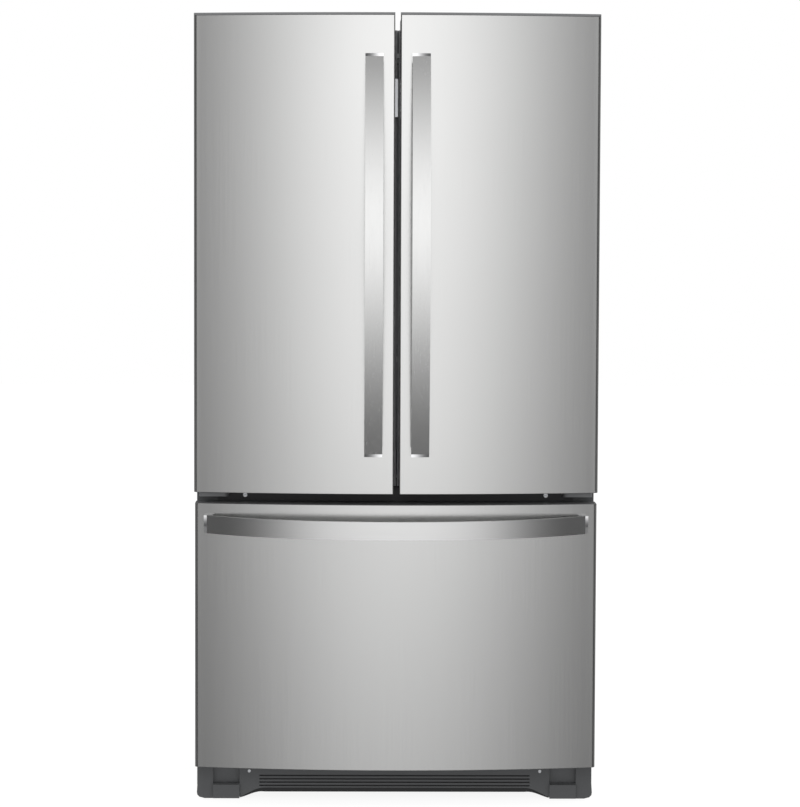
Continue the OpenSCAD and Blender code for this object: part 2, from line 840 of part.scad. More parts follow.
module evaporator_fan() color(grey_plastic)
    difference() {
        translate([0, cover_y + 4, ev_fan_z]) rotate([-90, 0, 0]) {
            translate([0, 0, -4]) cylinder(r = ev_fan_hub, h = 14);
            fan_blades(ev_fan_r, ev_fan_hub, blades, 1.6, 14);
        }
        axle_y(shaft_r + pin_play, 0, [cover_y + 5, cover_y + 20], ev_fan_z);
    }

module air_duct() color(white_plastic) {
    z = [crisper_shelf + 12, fridge_ceiling - 26];
    difference() {
        block([-56, 56], [fridge_back - 12, fridge_back], z);
        block([-53, 53], [fridge_back - 9, fridge_back + 1], [z[0] + 3, z[1] - 3]);
        for (i = [1:6])
            block([-40, 40], [fridge_back - 13, fridge_back - 8],
                [z[0] + i * (z[1] - z[0]) / 7, z[0] + i * (z[1] - z[0]) / 7 + 5]);
    }
}

// ---- inside the fridge ----

panel_half = 150;

module control_panel() color(white_plastic) {
    y = cab_front + 82;
    x = [-panel_half, panel_half];
    block(x, [y, y + 50], [fridge_ceiling - 16, fridge_ceiling]);
    block(x, [y + 50.5, y + 150], [fridge_ceiling - 10, fridge_ceiling]);
    for (i = [0:3])
        block([-100 + i * 56, -68 + i * 56], [y - 1, y], [fridge_ceiling - 12, fridge_ceiling - 5]);
}

module shelf_tracks() color(zinc)
    both_sides()
        for (x = track_x)
            difference() {
                block([x, x + track_w], [fridge_back - track_d, fridge_back],
                    [crisper_shelf + 20, fridge_ceiling - 20]);
                for (z = [crisper_shelf + 44:40:fridge_ceiling - 44])
                    block([x + 5, x + track_w - 5], [fridge_back - track_d - 1, fridge_back - 3],
                        [z, z + 16]);
            }

function shelf_z(share) = crisper_shelf + shelf_room * share;

module shelf_frame(z) {
    block([shelf_in, shelf_out], [shelf_front, shelf_front + trim_w], [z - 12, z + 2]);
    block([shelf_in, shelf_out], [shelf_back - trim_w, shelf_back], [z - 10, z + 2]);
    for (x = track_x)
        difference() {
            block([x + 4, x + track_w - 4], [shelf_front + 4, fridge_back - track_d],
                [z - 34, z - glass_t]);
            translate([x, shelf_front + trim_w, z - 34]) rotate([4.2, 0, 0])
                translate([-1, -20, -60]) cube([track_w + 2, 420, 60]);
        }
}

module shelf_pane(z)
    block([shelf_in + 1, shelf_out - 1], [shelf_front + trim_w, shelf_back - trim_w], [z - glass_t, z]);

module crisper_frame() {
    z = crisper_shelf;
    x = room_half - 1;
    block([-x, x], [shelf_front, shelf_front + trim_w], [z - 12, z + 2]);
    block([-x, x], [shelf_back - trim_w, shelf_back], [z - 10, z + 2]);
    for (s = [-x, -3, x - 6])
        block([s, s + 6], [shelf_front + 4, shelf_back], [z - 10, z - glass_t]);
}

module shelf_frames() color(white_plastic) {
    for (s = right_shelves) shelf_frame(shelf_z(s));
    left() for (s = left_shelves) shelf_frame(shelf_z(s));
    crisper_frame();
}

module shelf_glass() color(clear_plastic) {
    for (s = right_shelves) shelf_pane(shelf_z(s));
    left() for (s = left_shelves) shelf_pane(shelf_z(s));
    block([-room_half + 2, room_half - 2], [shelf_front + trim_w, shelf_back - trim_w],
        [crisper_shelf - glass_t, crisper_shelf]);
}

module crisper_shape() {
    y = [crisper_front, fridge_back - 18];
    tray([crisper_in, crisper_out], y, [crisper_low, crisper_top - 10], bin_wall);
    block([crisper_in, crisper_out], [y[0], y[0] + 6], [crisper_top - 10, crisper_top - 2]);
    block([crisper_in + 20, crisper_out - 20], [y[0] - 3, y[0]], [crisper_top - 22, crisper_top - 2]);
}

module crisper_right() color(clear_plastic) crisper_shape();

module crisper_left() color(clear_plastic) left() crisper_shape();

// ---- freezer ----

slide_top = slide_z + slide_h;
slide_x1 = room_half - slide_play;
slide_x2 = slide_x1 - slide_w - slide_play;
slide_x3 = slide_x2 - slide_w - slide_play;

module slide_bar(x, z_in)
    both_sides()
        block([x - slide_w, x], [slide_front, slide_front + slide_len], [slide_z + z_in, slide_top - z_in]);

module slide_outer() color(zinc) {
    slide_bar(slide_x1, 0);
    both_sides()
        block([slide_x1, room_half], [slide_front + 20, slide_front + slide_len - 20],
            [slide_z + 8, slide_top - 8]);
}

module slide_middle() color(zinc) slide_bar(slide_x2, 3);

module slide_inner() color(zinc) {
    slide_bar(slide_x3, 0);
    both_sides()
        block([slide_x3 - slide_w, slide_x3], [door_back, slide_front], [slide_z - 30, slide_top + 30]);
}

module freezer_bin() color(white_plastic) {
    z = [freezer_floor + 13, freezer_floor + 13 + bin_h];
    y = [cab_front + 22, step_back - 10];
    tray([-bin_side, bin_side], y, z, bin_wall);
    both_sides()
        block([bin_side, slide_x3], [slide_front + 20, y[1]], [slide_top, slide_top + 6]);
    block([-200, 200], [door_back, y[0]], [z[0] + 60, z[0] + 90]);
}

module freezer_basket() color(white_plastic) {
    z = [basket_low, basket_top];
    y = [basket_front, cover_y - 12];
    tray([-basket_side, basket_side], y, z, bin_wall);
    both_sides()
        block([basket_side, room_half - 5], y, [basket_top - 5, basket_top]);
}

module drawer_skin() color(steel)
    difference() {
        drawer_shape([drawer_lift, drawer_top], door_back, 0);
        drawer_shape([drawer_lift - 1, drawer_top + 1], door_back + 1, skin_t);
    }

module drawer_end_caps() color(dark_plastic) {
    drawer_shape([drawer_top - cap_t, drawer_top], door_back, skin_t);
    drawer_shape([drawer_lift, drawer_lift + cap_t], door_back, skin_t);
}

module drawer_core() color(foam)
    drawer_shape([drawer_lift + cap_t, drawer_top - cap_t], liner_front, skin_t);

module drawer_liner() color(white_plastic)
    block([-drawer_half + skin_t, drawer_half - skin_t], [liner_front, door_back],
        [drawer_lift + cap_t, drawer_top - cap_t]);

module drawer_gasket() color(rubber)
    ring([-seal_out, seal_out], [door_back, cab_front - seal_play],
        [drawer_seal_low, drawer_seal_high], drawer_seal_w);

// Plan view of the drawer handle: a bar that bows out more than the front behind it
module drawer_handle() color(steel) {
    half = drawer_half - drawer_handle_side;
    end_y = face_y(half) - drawer_handle_end;
    rise = end_y - (y_face - handle_reach);
    z1 = drawer_top - drawer_handle_drop;
    front = [for (i = [0:32]) let (t = -1 + i / 16) [t * half, end_y - rise * (1 - t * t)]];
    inner = [for (i = [0:32]) let (t = 1 - i / 16)
        [t * (half - bar_end), end_y - rise * (1 - t * t) + bar_t]];
    difference() {
        translate([0, 0, z1 - bar_w])
            linear_extrude(bar_w)
                polygon(concat(front, [[half, y_corner], [half - bar_end, y_corner]], inner,
                    [[-half + bar_end, y_corner], [-half, y_corner]]));
        drawer_shape([z1 - bar_w - 1, z1 + 1], door_back, 0);
    }
}

// ---- the two doors ----

module right_door_skin() color(steel) door_skin_shape();

module left_door_skin() color(steel) left() door_skin_shape();

module right_door_core() color(foam) door_core_shape();

module left_door_core() color(foam) left() door_core_shape();

module right_door_liner() color(white_plastic) door_liner_shape();

module left_door_liner() color(white_plastic) left() door_liner_shape();

module right_door_gasket() color(rubber) door_gasket_shape(right_flap_x);

module left_door_gasket() color(rubber) left() door_gasket_shape(left_flap_x);

module right_door_end_caps() color(dark_plastic) door_caps_shape();

module left_door_end_caps() color(dark_plastic) left() door_caps_shape();

module right_door_handle() color(steel) door_handle_shape();

module left_door_handle() color(steel) left() door_handle_shape();

dairy_z = bin_z(dairy_share);
lid_hinge_y = door_back + 8;
lid_z = dairy_z + dairy_h + 3;
lid_pin_r = 2;
lid_pin_z = lid_z + 1.5;
lid_play = 0.4;
dairy_notch = 52;

module right_door_bins() color(clear_plastic) {
    for (s = bin_shares) door_bin(bin_z(s), door_bin_h);
    difference() {
        door_bin(dairy_z, dairy_h);
        block([bin_in + 20, bin_out - 20], [bin_y - 4, bin_y + 1],
            [dairy_z + dairy_notch, dairy_z + dairy_h + 1]);
    }
    for (x = [[bin_in, bin_in + 3], [bin_out - 3, bin_out]])
        block(x, [lid_hinge_y - 6, lid_hinge_y + 6], [dairy_z + dairy_h, lid_z + 6]);
    for (x = [[bin_in + 3, bin_in + 8], [bin_out - 8, bin_out - 3]])
        axle_x(lid_pin_r, x, lid_hinge_y, lid_pin_z);
}

module left_door_bins() color(clear_plastic)
    left() for (s = bin_shares) door_bin(bin_z(s), door_bin_h);

module dairy_lid() color(clear_plastic) {
    x = [bin_in + 3 + lid_play, bin_out - 3 - lid_play];
    z = lid_pin_z;
    difference() {
        union() {
            axle_x(4.5, x, lid_hinge_y, z);
            block(x, [lid_hinge_y, bin_y + 3], [z - 1.2, z + 1.2]);
            block(x, [bin_y + 0.6, bin_y + 3], [dairy_z + dairy_notch - 6, z]);
        }
        axle_x(lid_pin_r + pin_play, [x[0] - 1, x[0] + 5 + lid_play], lid_hinge_y, z);
        axle_x(lid_pin_r + pin_play, [x[1] - 5 - lid_play, x[1] + 1], lid_hinge_y, z);
    }
}

cabinet_wrapper();
back_panel();
cabinet_insulation();
fridge_liner();
freezer_liner();
center_rail();
base_frame();
toe_grille();
cabinet_screws();
leveling_legs();
top_hinges();
hinge_covers();
center_hinges();
mullion_guide();
compressor();
condenser_coil();
fan_shroud();
drain_pan();
machine_cover();
evaporator_coil();
evaporator_cover();
air_duct();
control_panel();
shelf_tracks();
shelf_frames();
shelf_glass();
slide_outer();
condenser_fan();
evaporator_fan();
front_rollers();
rear_rollers();
crisper_left();
crisper_right();
flipper_mullion();
dairy_lid();
slide_middle();
freezer_basket();
left_door_skin();
left_door_core();
left_door_liner();
left_door_gasket();
left_door_end_caps();
left_door_handle();
left_door_bins();
flipper_brackets();
right_door_skin();
right_door_core();
right_door_liner();
right_door_gasket();
right_door_end_caps();
right_door_handle();
right_door_bins();
drawer_skin();
drawer_core();
drawer_liner();
drawer_gasket();
drawer_end_caps();
drawer_handle();
freezer_bin();
slide_inner();
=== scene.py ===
"""The finished look of a french door refrigerator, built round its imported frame."""
import json
import math

import bmesh
import bpy
from bpy.props import FloatProperty, FloatVectorProperty, IntProperty, PointerProperty
from mathutils import Matrix, Vector

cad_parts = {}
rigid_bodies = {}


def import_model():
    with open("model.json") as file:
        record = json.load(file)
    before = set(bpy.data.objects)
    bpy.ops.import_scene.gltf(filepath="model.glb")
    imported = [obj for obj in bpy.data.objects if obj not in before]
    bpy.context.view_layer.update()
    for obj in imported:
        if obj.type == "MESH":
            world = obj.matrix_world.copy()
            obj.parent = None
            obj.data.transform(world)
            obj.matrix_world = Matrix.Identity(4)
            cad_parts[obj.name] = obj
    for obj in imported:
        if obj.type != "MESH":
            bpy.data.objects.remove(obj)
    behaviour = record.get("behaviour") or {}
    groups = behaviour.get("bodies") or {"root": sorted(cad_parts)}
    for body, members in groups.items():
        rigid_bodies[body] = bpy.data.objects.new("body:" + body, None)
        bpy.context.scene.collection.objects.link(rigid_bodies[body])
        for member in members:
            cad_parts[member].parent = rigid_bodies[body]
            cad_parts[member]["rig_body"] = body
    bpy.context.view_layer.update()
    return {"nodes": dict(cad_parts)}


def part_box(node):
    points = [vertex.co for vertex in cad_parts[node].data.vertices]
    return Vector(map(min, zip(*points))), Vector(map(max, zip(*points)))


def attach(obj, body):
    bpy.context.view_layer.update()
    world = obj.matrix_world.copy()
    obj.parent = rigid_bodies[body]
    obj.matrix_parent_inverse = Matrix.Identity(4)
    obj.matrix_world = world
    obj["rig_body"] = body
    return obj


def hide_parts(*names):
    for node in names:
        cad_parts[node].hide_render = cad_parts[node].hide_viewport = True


bl_info = {
    "name": "French Door Refrigerator",
    "version": (1, 0, 0),
    "blender": (4, 5, 0),
    "location": "View3D > Sidebar > Refrigerator",
    "description": "Builds the visible pieces and finishes of a french door refrigerator",
    "category": "Object",
}

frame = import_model()

MM = 0.001
SHARP = math.radians(32)
WELD = 1e-6
FLAT = math.radians(1.0)
GRAIN_DEPTH = 0.0004
CLEAR_IOR = 1.46
DUST_COLOUR = (0.42, 0.41, 0.39, 1.0)
WHITE = (1.0, 1.0, 1.0, 1.0)

door_low, door_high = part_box("right_door_skin")
drawer_low, drawer_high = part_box("drawer_skin")
wrap_low, wrap_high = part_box("cabinet_wrapper")
liner_low, liner_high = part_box("fridge_liner")


# ---------------------------------------------------------------- sizes and colours

class FridgeFronts(bpy.types.PropertyGroup):
    """Sizes of the bowed steel fronts and their handles"""
    bow: FloatProperty(
        name="Bow", description="How far the fronts bow out between the outer edges",
        default=0.040, min=0.01, unit="LENGTH")
    edge_round: FloatProperty(
        name="Edge radius", description="Radius of the outer vertical edges",
        default=0.008, min=0.002, unit="LENGTH")
    gap_round: FloatProperty(
        name="Gap edge radius", description="Radius of the vertical edges beside the gap",
        default=0.003, min=0.001, unit="LENGTH")
    sheet: FloatProperty(
        name="Sheet", description="Thickness of the steel sheet",
        default=0.0012, min=0.0005, unit="LENGTH")
    lip_drop: FloatProperty(
        name="Lip drop", description="Height of the recess behind the lip at a door's top",
        default=0.009, min=0.0, unit="LENGTH")
    handle_end: FloatProperty(
        name="Door handle end", description="How far the ends of a door handle stand off the front",
        default=0.025, min=0.01, unit="LENGTH")
    drawer_handle_droop: FloatProperty(
        name="Drawer handle droop", description="How far the drawer handle's middle hangs below its ends",
        default=0.0055, min=0.0, unit="LENGTH")
    drawer_handle_end: FloatProperty(
        name="Drawer handle end", description="How far the ends of the drawer handle stand off the front",
        default=0.022, min=0.01, unit="LENGTH")
    bar_thickness: FloatProperty(
        name="Bar", description="Thickness of the handle bars",
        default=0.009, min=0.003, unit="LENGTH")
    end_length: FloatProperty(
        name="End piece", description="Length of a polished end piece along the bar",
        default=0.020, min=0.01, unit="LENGTH")
    handle_round: FloatProperty(
        name="Handle edge", description="Radius of the long edges of the handle bars",
        default=0.0016, min=0.0005, unit="LENGTH")
    cap_length: FloatProperty(
        name="End piece face", description="Length of a polished end piece's face along the bar",
        default=0.0066, min=0.002, unit="LENGTH")
    cap_sweep: FloatProperty(
        name="End piece sweep", description="How far that face sweeps back across the bar",
        default=0.007, min=0.0, unit="LENGTH")
    arc_steps: IntProperty(
        name="Arc steps", description="Number of steps across a bowed front", default=48, min=8)


class FridgeFinishes(bpy.types.PropertyGroup):
    """Colours of the finishes"""
    steel: FloatVectorProperty(
        name="Steel", description="Brushed steel of the fronts", subtype="COLOR",
        default=(0.655, 0.655, 0.650), min=0.0, max=1.0)
    # The handle colours are brightened copies of the front steel: painted light for the light the handles
    # catch, the drawer handle most of all.
    handle_steel: FloatVectorProperty(
        name="Door handle steel", description="Brushed steel of the door handles", subtype="COLOR",
        default=(0.74, 0.74, 0.735), min=0.0, max=1.0)
    drawer_handle_brightened_steel: FloatVectorProperty(
        name="Drawer handle steel", description="Brushed steel of the drawer handle", subtype="COLOR",
        default=(0.97, 0.97, 0.965), min=0.0, max=1.0)
    # The cabinet colour is darker than the paint's own grey: painted shade, so the wrapper's flange in the
    # gap under the doors and in the toe pocket comes out dark.
    cabinet: FloatVectorProperty(
        name="Cabinet", description="Textured paint of the cabinet", subtype="COLOR",
        default=(0.085, 0.088, 0.092), min=0.0, max=1.0)
    # The grille colour is darker than the plastic's own grey: painted shade, as the grille and its feet sit
    # in shade under the drawer.
    grille: FloatVectorProperty(
        name="Grille", description="Moulded plastic of the toe grille", subtype="COLOR",
        default=(0.066, 0.068, 0.071), min=0.0, max=1.0)
    dark_trim: FloatVectorProperty(
        name="Dark trim", description="Dark moulded trim", subtype="COLOR",
        default=(0.045, 0.046, 0.049), min=0.0, max=1.0)
    # The seal colour is lighter than the rubber's own grey: partly a light grey gasket, partly painted light
    # for the seals in the shaded gap between the doors.
    seal: FloatVectorProperty(
        name="Seal", description="Soft door seals", subtype="COLOR",
        default=(0.46, 0.465, 0.475), min=0.0, max=1.0)
    liner: FloatVectorProperty(
        name="Liner", description="White plastic of the inside", subtype="COLOR",
        default=(0.82, 0.83, 0.84), min=0.0, max=1.0)
    clear: FloatVectorProperty(
        name="Clear plastic", description="Clear bins and drawers", subtype="COLOR",
        default=(0.86, 0.92, 0.94), min=0.0, max=1.0)


class FridgeStage(bpy.types.PropertyGroup):
    """Where the camera stands and how bright the studio is"""
    distance: FloatProperty(
        name="Distance", description="Camera distance in front of the doors",
        default=5.996, unit="LENGTH")
    side: FloatProperty(
        name="Side", description="Camera distance to the right of the middle",
        default=-0.115, unit="LENGTH")
    height: FloatProperty(
        name="Height", description="Camera height above the floor",
        default=1.342, unit="LENGTH")
    pitch: FloatProperty(
        name="Pitch", description="How far the camera looks down",
        default=math.radians(3.30), unit="ROTATION")
    yaw: FloatProperty(
        name="Yaw", description="How far the camera looks to the right",
        default=math.radians(0.42), unit="ROTATION")
    roll: FloatProperty(
        name="Roll", description="How far the camera leans",
        default=math.radians(0.179), unit="ROTATION")
    lens: FloatProperty(
        name="Lens", description="Focal length on a 36 mm sensor, in millimetres", default=120.72)
    shift_x: FloatProperty(name="Shift X", description="Sideways lens shift", default=0.0436)
    shift_y: FloatProperty(name="Shift Y", description="Upward lens shift", default=-0.0494)
    glow: FloatProperty(
        name="Glow", description="Brightness of the studio ahead of the doors", default=1.5)
    fill: FloatProperty(
        name="Fill", description="Brightness of the studio all round", default=0.9)


# ---------------------------------------------------------------- mesh tools

def finish_mesh(name, bm, material, body, slot, *nodes, bend=SHARP):
    """Turns bm into a piece that rides on a body, with its edges sharp above the angle bend"""
    bmesh.ops.recalc_face_normals(bm, faces=bm.faces)
    for face in bm.faces:
        face.smooth = True
    for edge in bm.edges:
        edge.smooth = len(edge.link_faces) == 2 and edge.calc_face_angle(0.0) < bend
    mesh = bpy.data.meshes.new(name)
    bm.to_mesh(mesh)
    bm.free()
    piece = bpy.data.objects.new(name, mesh)
    bpy.context.scene.collection.objects.link(piece)
    for one in material if isinstance(material, (list, tuple)) else [material]:
        mesh.materials.append(one)
    normals = piece.modifiers.new("even_shading", "WEIGHTED_NORMAL")
    normals.keep_sharp = True
    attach(piece, body)
    if nodes:
        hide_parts(*nodes)
    return piece


def bridge(bm, loops, closed_loops=True, closed_way=False, caps=True):
    """Joins loops of points into one skin; each loop has the same number of points"""
    rows = [[bm.verts.new(p) for p in loop] for loop in loops]
    count = len(rows[0])
    pairs = list(zip(rows, rows[1:]))
    if closed_way:
        pairs.append((rows[-1], rows[0]))
    for a, b in pairs:
        for i in range(count if closed_loops else count - 1):
            j = (i + 1) % count
            bm.faces.new((a[i], a[j], b[j], b[i]))
    if caps and closed_loops and not closed_way:
        bm.faces.new(rows[0][::-1])
        bm.faces.new(rows[-1])
    if caps and closed_way and not closed_loops:
        bm.faces.new([row[0] for row in rows][::-1])
        bm.faces.new([row[-1] for row in rows])
    return rows


def round_edges(bm, width, segments=2, pick=None):
    """Rounds the sharp edges of bm, or those of them that pick chooses"""
    edges = [e for e in bm.edges
             if len(e.link_faces) == 2 and e.calc_face_angle(0.0) > SHARP and (pick is None or pick(e))]
    if edges:
        bmesh.ops.bevel(bm, geom=edges, offset=width, offset_type="OFFSET", segments=segments,
                        profile=0.5, affect="EDGES", clamp_overlap=True)


def add_box(bm, low, high):
    """A box between two corners"""
    corners = ((low[0], low[1]), (high[0], low[1]), (high[0], high[1]), (low[0], high[1]))
    bridge(bm, [[(x, y, z) for x, y in corners] for z in (low[2], high[2])])


def add_rod(bm, start, end, radius, steps=24, tip=0.0):
    """A round rod between two points, with its ends rounded by tip"""
    start, end = Vector(start), Vector(end)
    axis = (end - start).normalized()
    side = axis.orthogonal().normalized()
    other = axis.cross(side)
    length = (end - start).length
    stations = [(0.0, radius - tip), (tip, radius), (length - tip, radius), (length, radius - tip)]
    if tip <= 0.0:
        stations = [(0.0, radius), (length, radius)]
    loops = []
    for along, r in stations:
        loops.append([start + axis * along + r * (math.cos(a) * side + math.sin(a) * other)
                      for a in (2 * math.pi * k / steps for k in range(steps))])
    bridge(bm, loops)


def add_prism(bm, outline, axis, low, high):
    """Extrudes a flat outline: axis X takes (y, z) points, axis Z takes (x, y) points"""
    if axis == "X":
        loops = [[(v, p[0], p[1]) for p in outline] for v in (low, high)]
    else:
        loops = [[(p[0], p[1], v) for p in outline] for v in (low, high)]
    bridge(bm, loops)


def sweep_frame(bm, profile, x, z):
    """Sweeps (inset, y) points round the rectangle x by z, with mitred corners"""
    loops = []
    for inset, y in profile:
        loops.append([(x[0] + inset, y, z[0] + inset), (x[1] - inset, y, z[0] + inset),
                      (x[1] - inset, y, z[1] - inset), (x[0] + inset, y, z[1] - inset)])
    bridge(bm, loops, closed_way=True, caps=False)


def refined(node, width, material, slot, segments=2, pick=None, bend=SHARP):
    """A copy of a CAD node with its sharp edges rounded, which stands for the node"""
    source = frame["nodes"][node]
    bm = bmesh.new()
    bm.from_mesh(source.data)
    bmesh.ops.remove_doubles(bm, verts=bm.verts, dist=WELD)
    bmesh.ops.dissolve_limit(bm, angle_limit=FLAT, verts=bm.verts, edges=bm.edges)
    if width:
        round_edges(bm, width, segments, pick)
    return finish_mesh(node + "_shape", bm, material, source["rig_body"], slot, node, bend=bend)


# ---------------------------------------------------------------- shader tools

def new_material(name):
    """A node material with an empty Principled shader"""
    material = bpy.data.materials.new(name)
    material.use_nodes = True
    tree = material.node_tree
    tree.nodes.clear()
    output = tree.nodes.new("ShaderNodeOutputMaterial")
    shader = tree.nodes.new("ShaderNodeBsdfPrincipled")
    tree.links.new(shader.outputs["BSDF"], output.inputs["Surface"])
    return material, tree, shader


def group_node(tree, group, **values):
    """Places a node group in a material, with its own input values"""
    node = tree.nodes.new("ShaderNodeGroup")
    node.node_tree = group
    for name, value in values.items():
        node.inputs[name.replace("_", " ").capitalize()].default_value = value
    return node


def new_group(name, inputs, outputs):
    """A shader node group with float or colour sockets, and its input and output nodes"""
    group = bpy.data.node_groups.new(name, "ShaderNodeTree")
    for socket, kind, default in inputs:
        made = group.interface.new_socket(socket, in_out="INPUT", socket_type=kind)
        made.default_value = default
    for socket, kind in outputs:
        group.interface.new_socket(socket, in_out="OUTPUT", socket_type=kind)
    return group, group.nodes.new("NodeGroupInput"), group.nodes.new("NodeGroupOutput")


def maths(tree, operation, a, b=None):
    """A Math node whose inputs are numbers or sockets"""
    node = tree.nodes.new("ShaderNodeMath")
    node.operation = operation
    for index, value in enumerate((a, b)):
        if value is None:
            continue
        if isinstance(value, (int, float)):
            node.inputs[index].default_value = value
        else:
            tree.links.new(value, node.inputs[index])
    return node.outputs[0]


def noise(tree, vector, scale, detail=3.0, roughness=0.5):
    """A noise texture's grey value"""
    node = tree.nodes.new("ShaderNodeTexNoise")
    node.inputs["Detail"].default_value = detail
    node.inputs["Roughness"].default_value = roughness
    tree.links.new(vector, node.inputs["Vector"])
    if isinstance(scale, (int, float)):
        node.inputs["Scale"].default_value = scale
    else:
        tree.links.new(scale, node.inputs["Scale"])
    return node.outputs["Fac"]


FLOAT = "NodeSocketFloat"
COLOUR = "NodeSocketColor"
VECTOR = "NodeSocketVector"


def object_place(tree):
    """The place on the object, in metres"""
    return tree.nodes.new("ShaderNodeTexCoord").outputs["Object"]


def grain_group():
    """Fine straight brushing: Stretch sets each axis's share, Depth its strength"""
    name = "Brushed grain"
    if name in bpy.data.node_groups:
        return bpy.data.node_groups[name]
    group, source, result = new_group(
        name,
        [("Place", VECTOR, (0, 0, 0)), ("Stretch", VECTOR, (1, 1, 0.01)), ("Depth", FLOAT, 1.0)],
        [("Streak", FLOAT), ("Patch", FLOAT)])
    stretch = group.nodes.new("ShaderNodeVectorMath")
    stretch.operation = "MULTIPLY"
    group.links.new(source.outputs["Place"], stretch.inputs[0])
    group.links.new(source.outputs["Stretch"], stretch.inputs[1])
    fine = noise(group, stretch.outputs[0], 2600.0, 2.0)
    coarse = noise(group, stretch.outputs[0], 420.0, 3.0)
    both = maths(group, "ADD", maths(group, "MULTIPLY", fine, 0.6), maths(group, "MULTIPLY", coarse, 0.4))
    centred = maths(group, "SUBTRACT", both, 0.5)
    group.links.new(maths(group, "MULTIPLY", centred, source.outputs["Depth"]), result.inputs["Streak"])
    patch = noise(group, source.outputs["Place"], 3.0, 2.0)
    group.links.new(maths(group, "SUBTRACT", patch, 0.5), result.inputs["Patch"])
    return group


def moulding_group():
    """Moulded or sprayed surface: a fine grain Height and broad Handling marks"""
    name = "Moulded surface"
    if name in bpy.data.node_groups:
        return bpy.data.node_groups[name]
    group, source, result = new_group(
        name,
        [("Place", VECTOR, (0, 0, 0)), ("Grain size", FLOAT, 900.0), ("Mottle", FLOAT, 1.0)],
        [("Height", FLOAT), ("Handling", FLOAT)])
    bumps = noise(group, source.outputs["Place"], source.outputs["Grain size"], 2.0, 0.6)
    group.links.new(bumps, result.inputs["Height"])
    marks = noise(group, source.outputs["Place"], 9.0, 4.0, 0.6)
    group.links.new(maths(group, "MULTIPLY", maths(group, "SUBTRACT", marks, 0.5),
                          source.outputs["Mottle"]), result.inputs["Handling"])
    return group


def dust_group():
    """Thin settled dust on faces that look up"""
    name = "Settled dust"
    if name in bpy.data.node_groups:
        return bpy.data.node_groups[name]
    group, source, result = new_group(
        name, [("Place", VECTOR, (0, 0, 0)), ("Amount", FLOAT, 0.3)], [("Dust", FLOAT)])
    up = group.nodes.new("ShaderNodeSeparateXYZ")
    group.links.new(group.nodes.new("ShaderNodeNewGeometry").outputs["Normal"], up.inputs[0])
    facing = maths(group, "MAXIMUM", up.outputs["Z"], 0.0)
    cover = maths(group, "MULTIPLY", facing, noise(group, source.outputs["Place"], 35.0, 4.0, 0.65))
    group.links.new(maths(group, "MULTIPLY", cover, source.outputs["Amount"]), result.inputs["Dust"])
    return group


def tint(tree, base, value, amount):
    """The colour base made lighter or darker by a centred value"""
    mixed = tree.nodes.new("ShaderNodeMix")
    mixed.data_type = "RGBA"
    light = tuple(min(1.0, c * (1 + amount)) for c in base)
    dark = tuple(c * (1 - amount) for c in base)
    mixed.inputs[6].default_value = (*dark, 1.0)
    mixed.inputs[7].default_value = (*light, 1.0)
    tree.links.new(maths(tree, "ADD", value, 0.5), mixed.inputs[0])
    return mixed.outputs[2]


def add_bump(tree, shader, height, strength):
    """Feeds a height to the shader's normal"""
    bump = tree.nodes.new("ShaderNodeBump")
    bump.inputs["Strength"].default_value = strength
    bump.inputs["Distance"].default_value = GRAIN_DEPTH
    tree.links.new(height, bump.inputs["Height"])
    tree.links.new(bump.outputs["Normal"], shader.inputs["Normal"])


def brushed_metal(name, colour, stretch, roughness, streak=0.10, depth=1.0, bump=0.03):
    """Steel with straight brushing along the axis that stretch makes small"""
    name += "_finish"
    if name in bpy.data.materials:
        return bpy.data.materials[name]
    material, tree, shader = new_material(name)
    grain = group_node(tree, grain_group(), stretch=stretch, depth=depth)
    tree.links.new(object_place(tree), grain.inputs["Place"])
    tree.links.new(tint(tree, colour, grain.outputs["Streak"], streak), shader.inputs["Base Color"])
    shader.inputs["Metallic"].default_value = 1.0
    rough = maths(tree, "ADD", maths(tree, "MULTIPLY", grain.outputs["Streak"], 0.16), roughness)
    rough = maths(tree, "ADD", maths(tree, "MULTIPLY", grain.outputs["Patch"], 0.03), rough)
    tree.links.new(rough, shader.inputs["Roughness"])
    add_bump(tree, shader, grain.outputs["Streak"], bump)
    return material


def moulded(name, colour, roughness, grain=900.0, bump=0.10, mottle=0.06, dust=0.0, metallic=0.0,
            transmission=0.0):
    """Moulded plastic or painted metal with a fine grain and faint handling marks"""
    name += "_finish"
    if name in bpy.data.materials:
        return bpy.data.materials[name]
    material, tree, shader = new_material(name)
    place = object_place(tree)
    surface = group_node(tree, moulding_group(), mottle=1.0)
    surface.inputs["Grain size"].default_value = grain
    tree.links.new(place, surface.inputs["Place"])
    colour_socket = tint(tree, colour, surface.outputs["Handling"], mottle)
    if dust:
        settled = group_node(tree, dust_group(), amount=dust)
        tree.links.new(place, settled.inputs["Place"])
        dusty = tree.nodes.new("ShaderNodeMix")
        dusty.data_type = "RGBA"
        dusty.inputs[7].default_value = DUST_COLOUR
        tree.links.new(colour_socket, dusty.inputs[6])
        tree.links.new(settled.outputs["Dust"], dusty.inputs[0])
        colour_socket = dusty.outputs[2]
    tree.links.new(colour_socket, shader.inputs["Base Color"])
    shader.inputs["Metallic"].default_value = metallic
    rough = maths(tree, "ADD", maths(tree, "MULTIPLY", surface.outputs["Handling"], 0.10), roughness)
    tree.links.new(rough, shader.inputs["Roughness"])
    add_bump(tree, shader, surface.outputs["Height"], bump)
    if transmission:
        shader.inputs["Transmission Weight"].default_value = transmission
        shader.inputs["IOR"].default_value = CLEAR_IOR
    return material


def polished_metal(name, colour, roughness):
    """Bright polished metal with faint wipe marks"""
    return moulded(name, colour, roughness, grain=300.0, bump=0.012, mottle=0.03, metallic=1.0)


def finishes():
    """The colours that the panel shows"""
    return bpy.context.scene.fridge_finishes


def fronts():
    """The sizes that the panel shows"""
    return bpy.context.scene.fridge_fronts


def front_steel():
    return brushed_metal("brushed_front", finishes().steel, (1.0, 1.0, 0.006), 0.20)


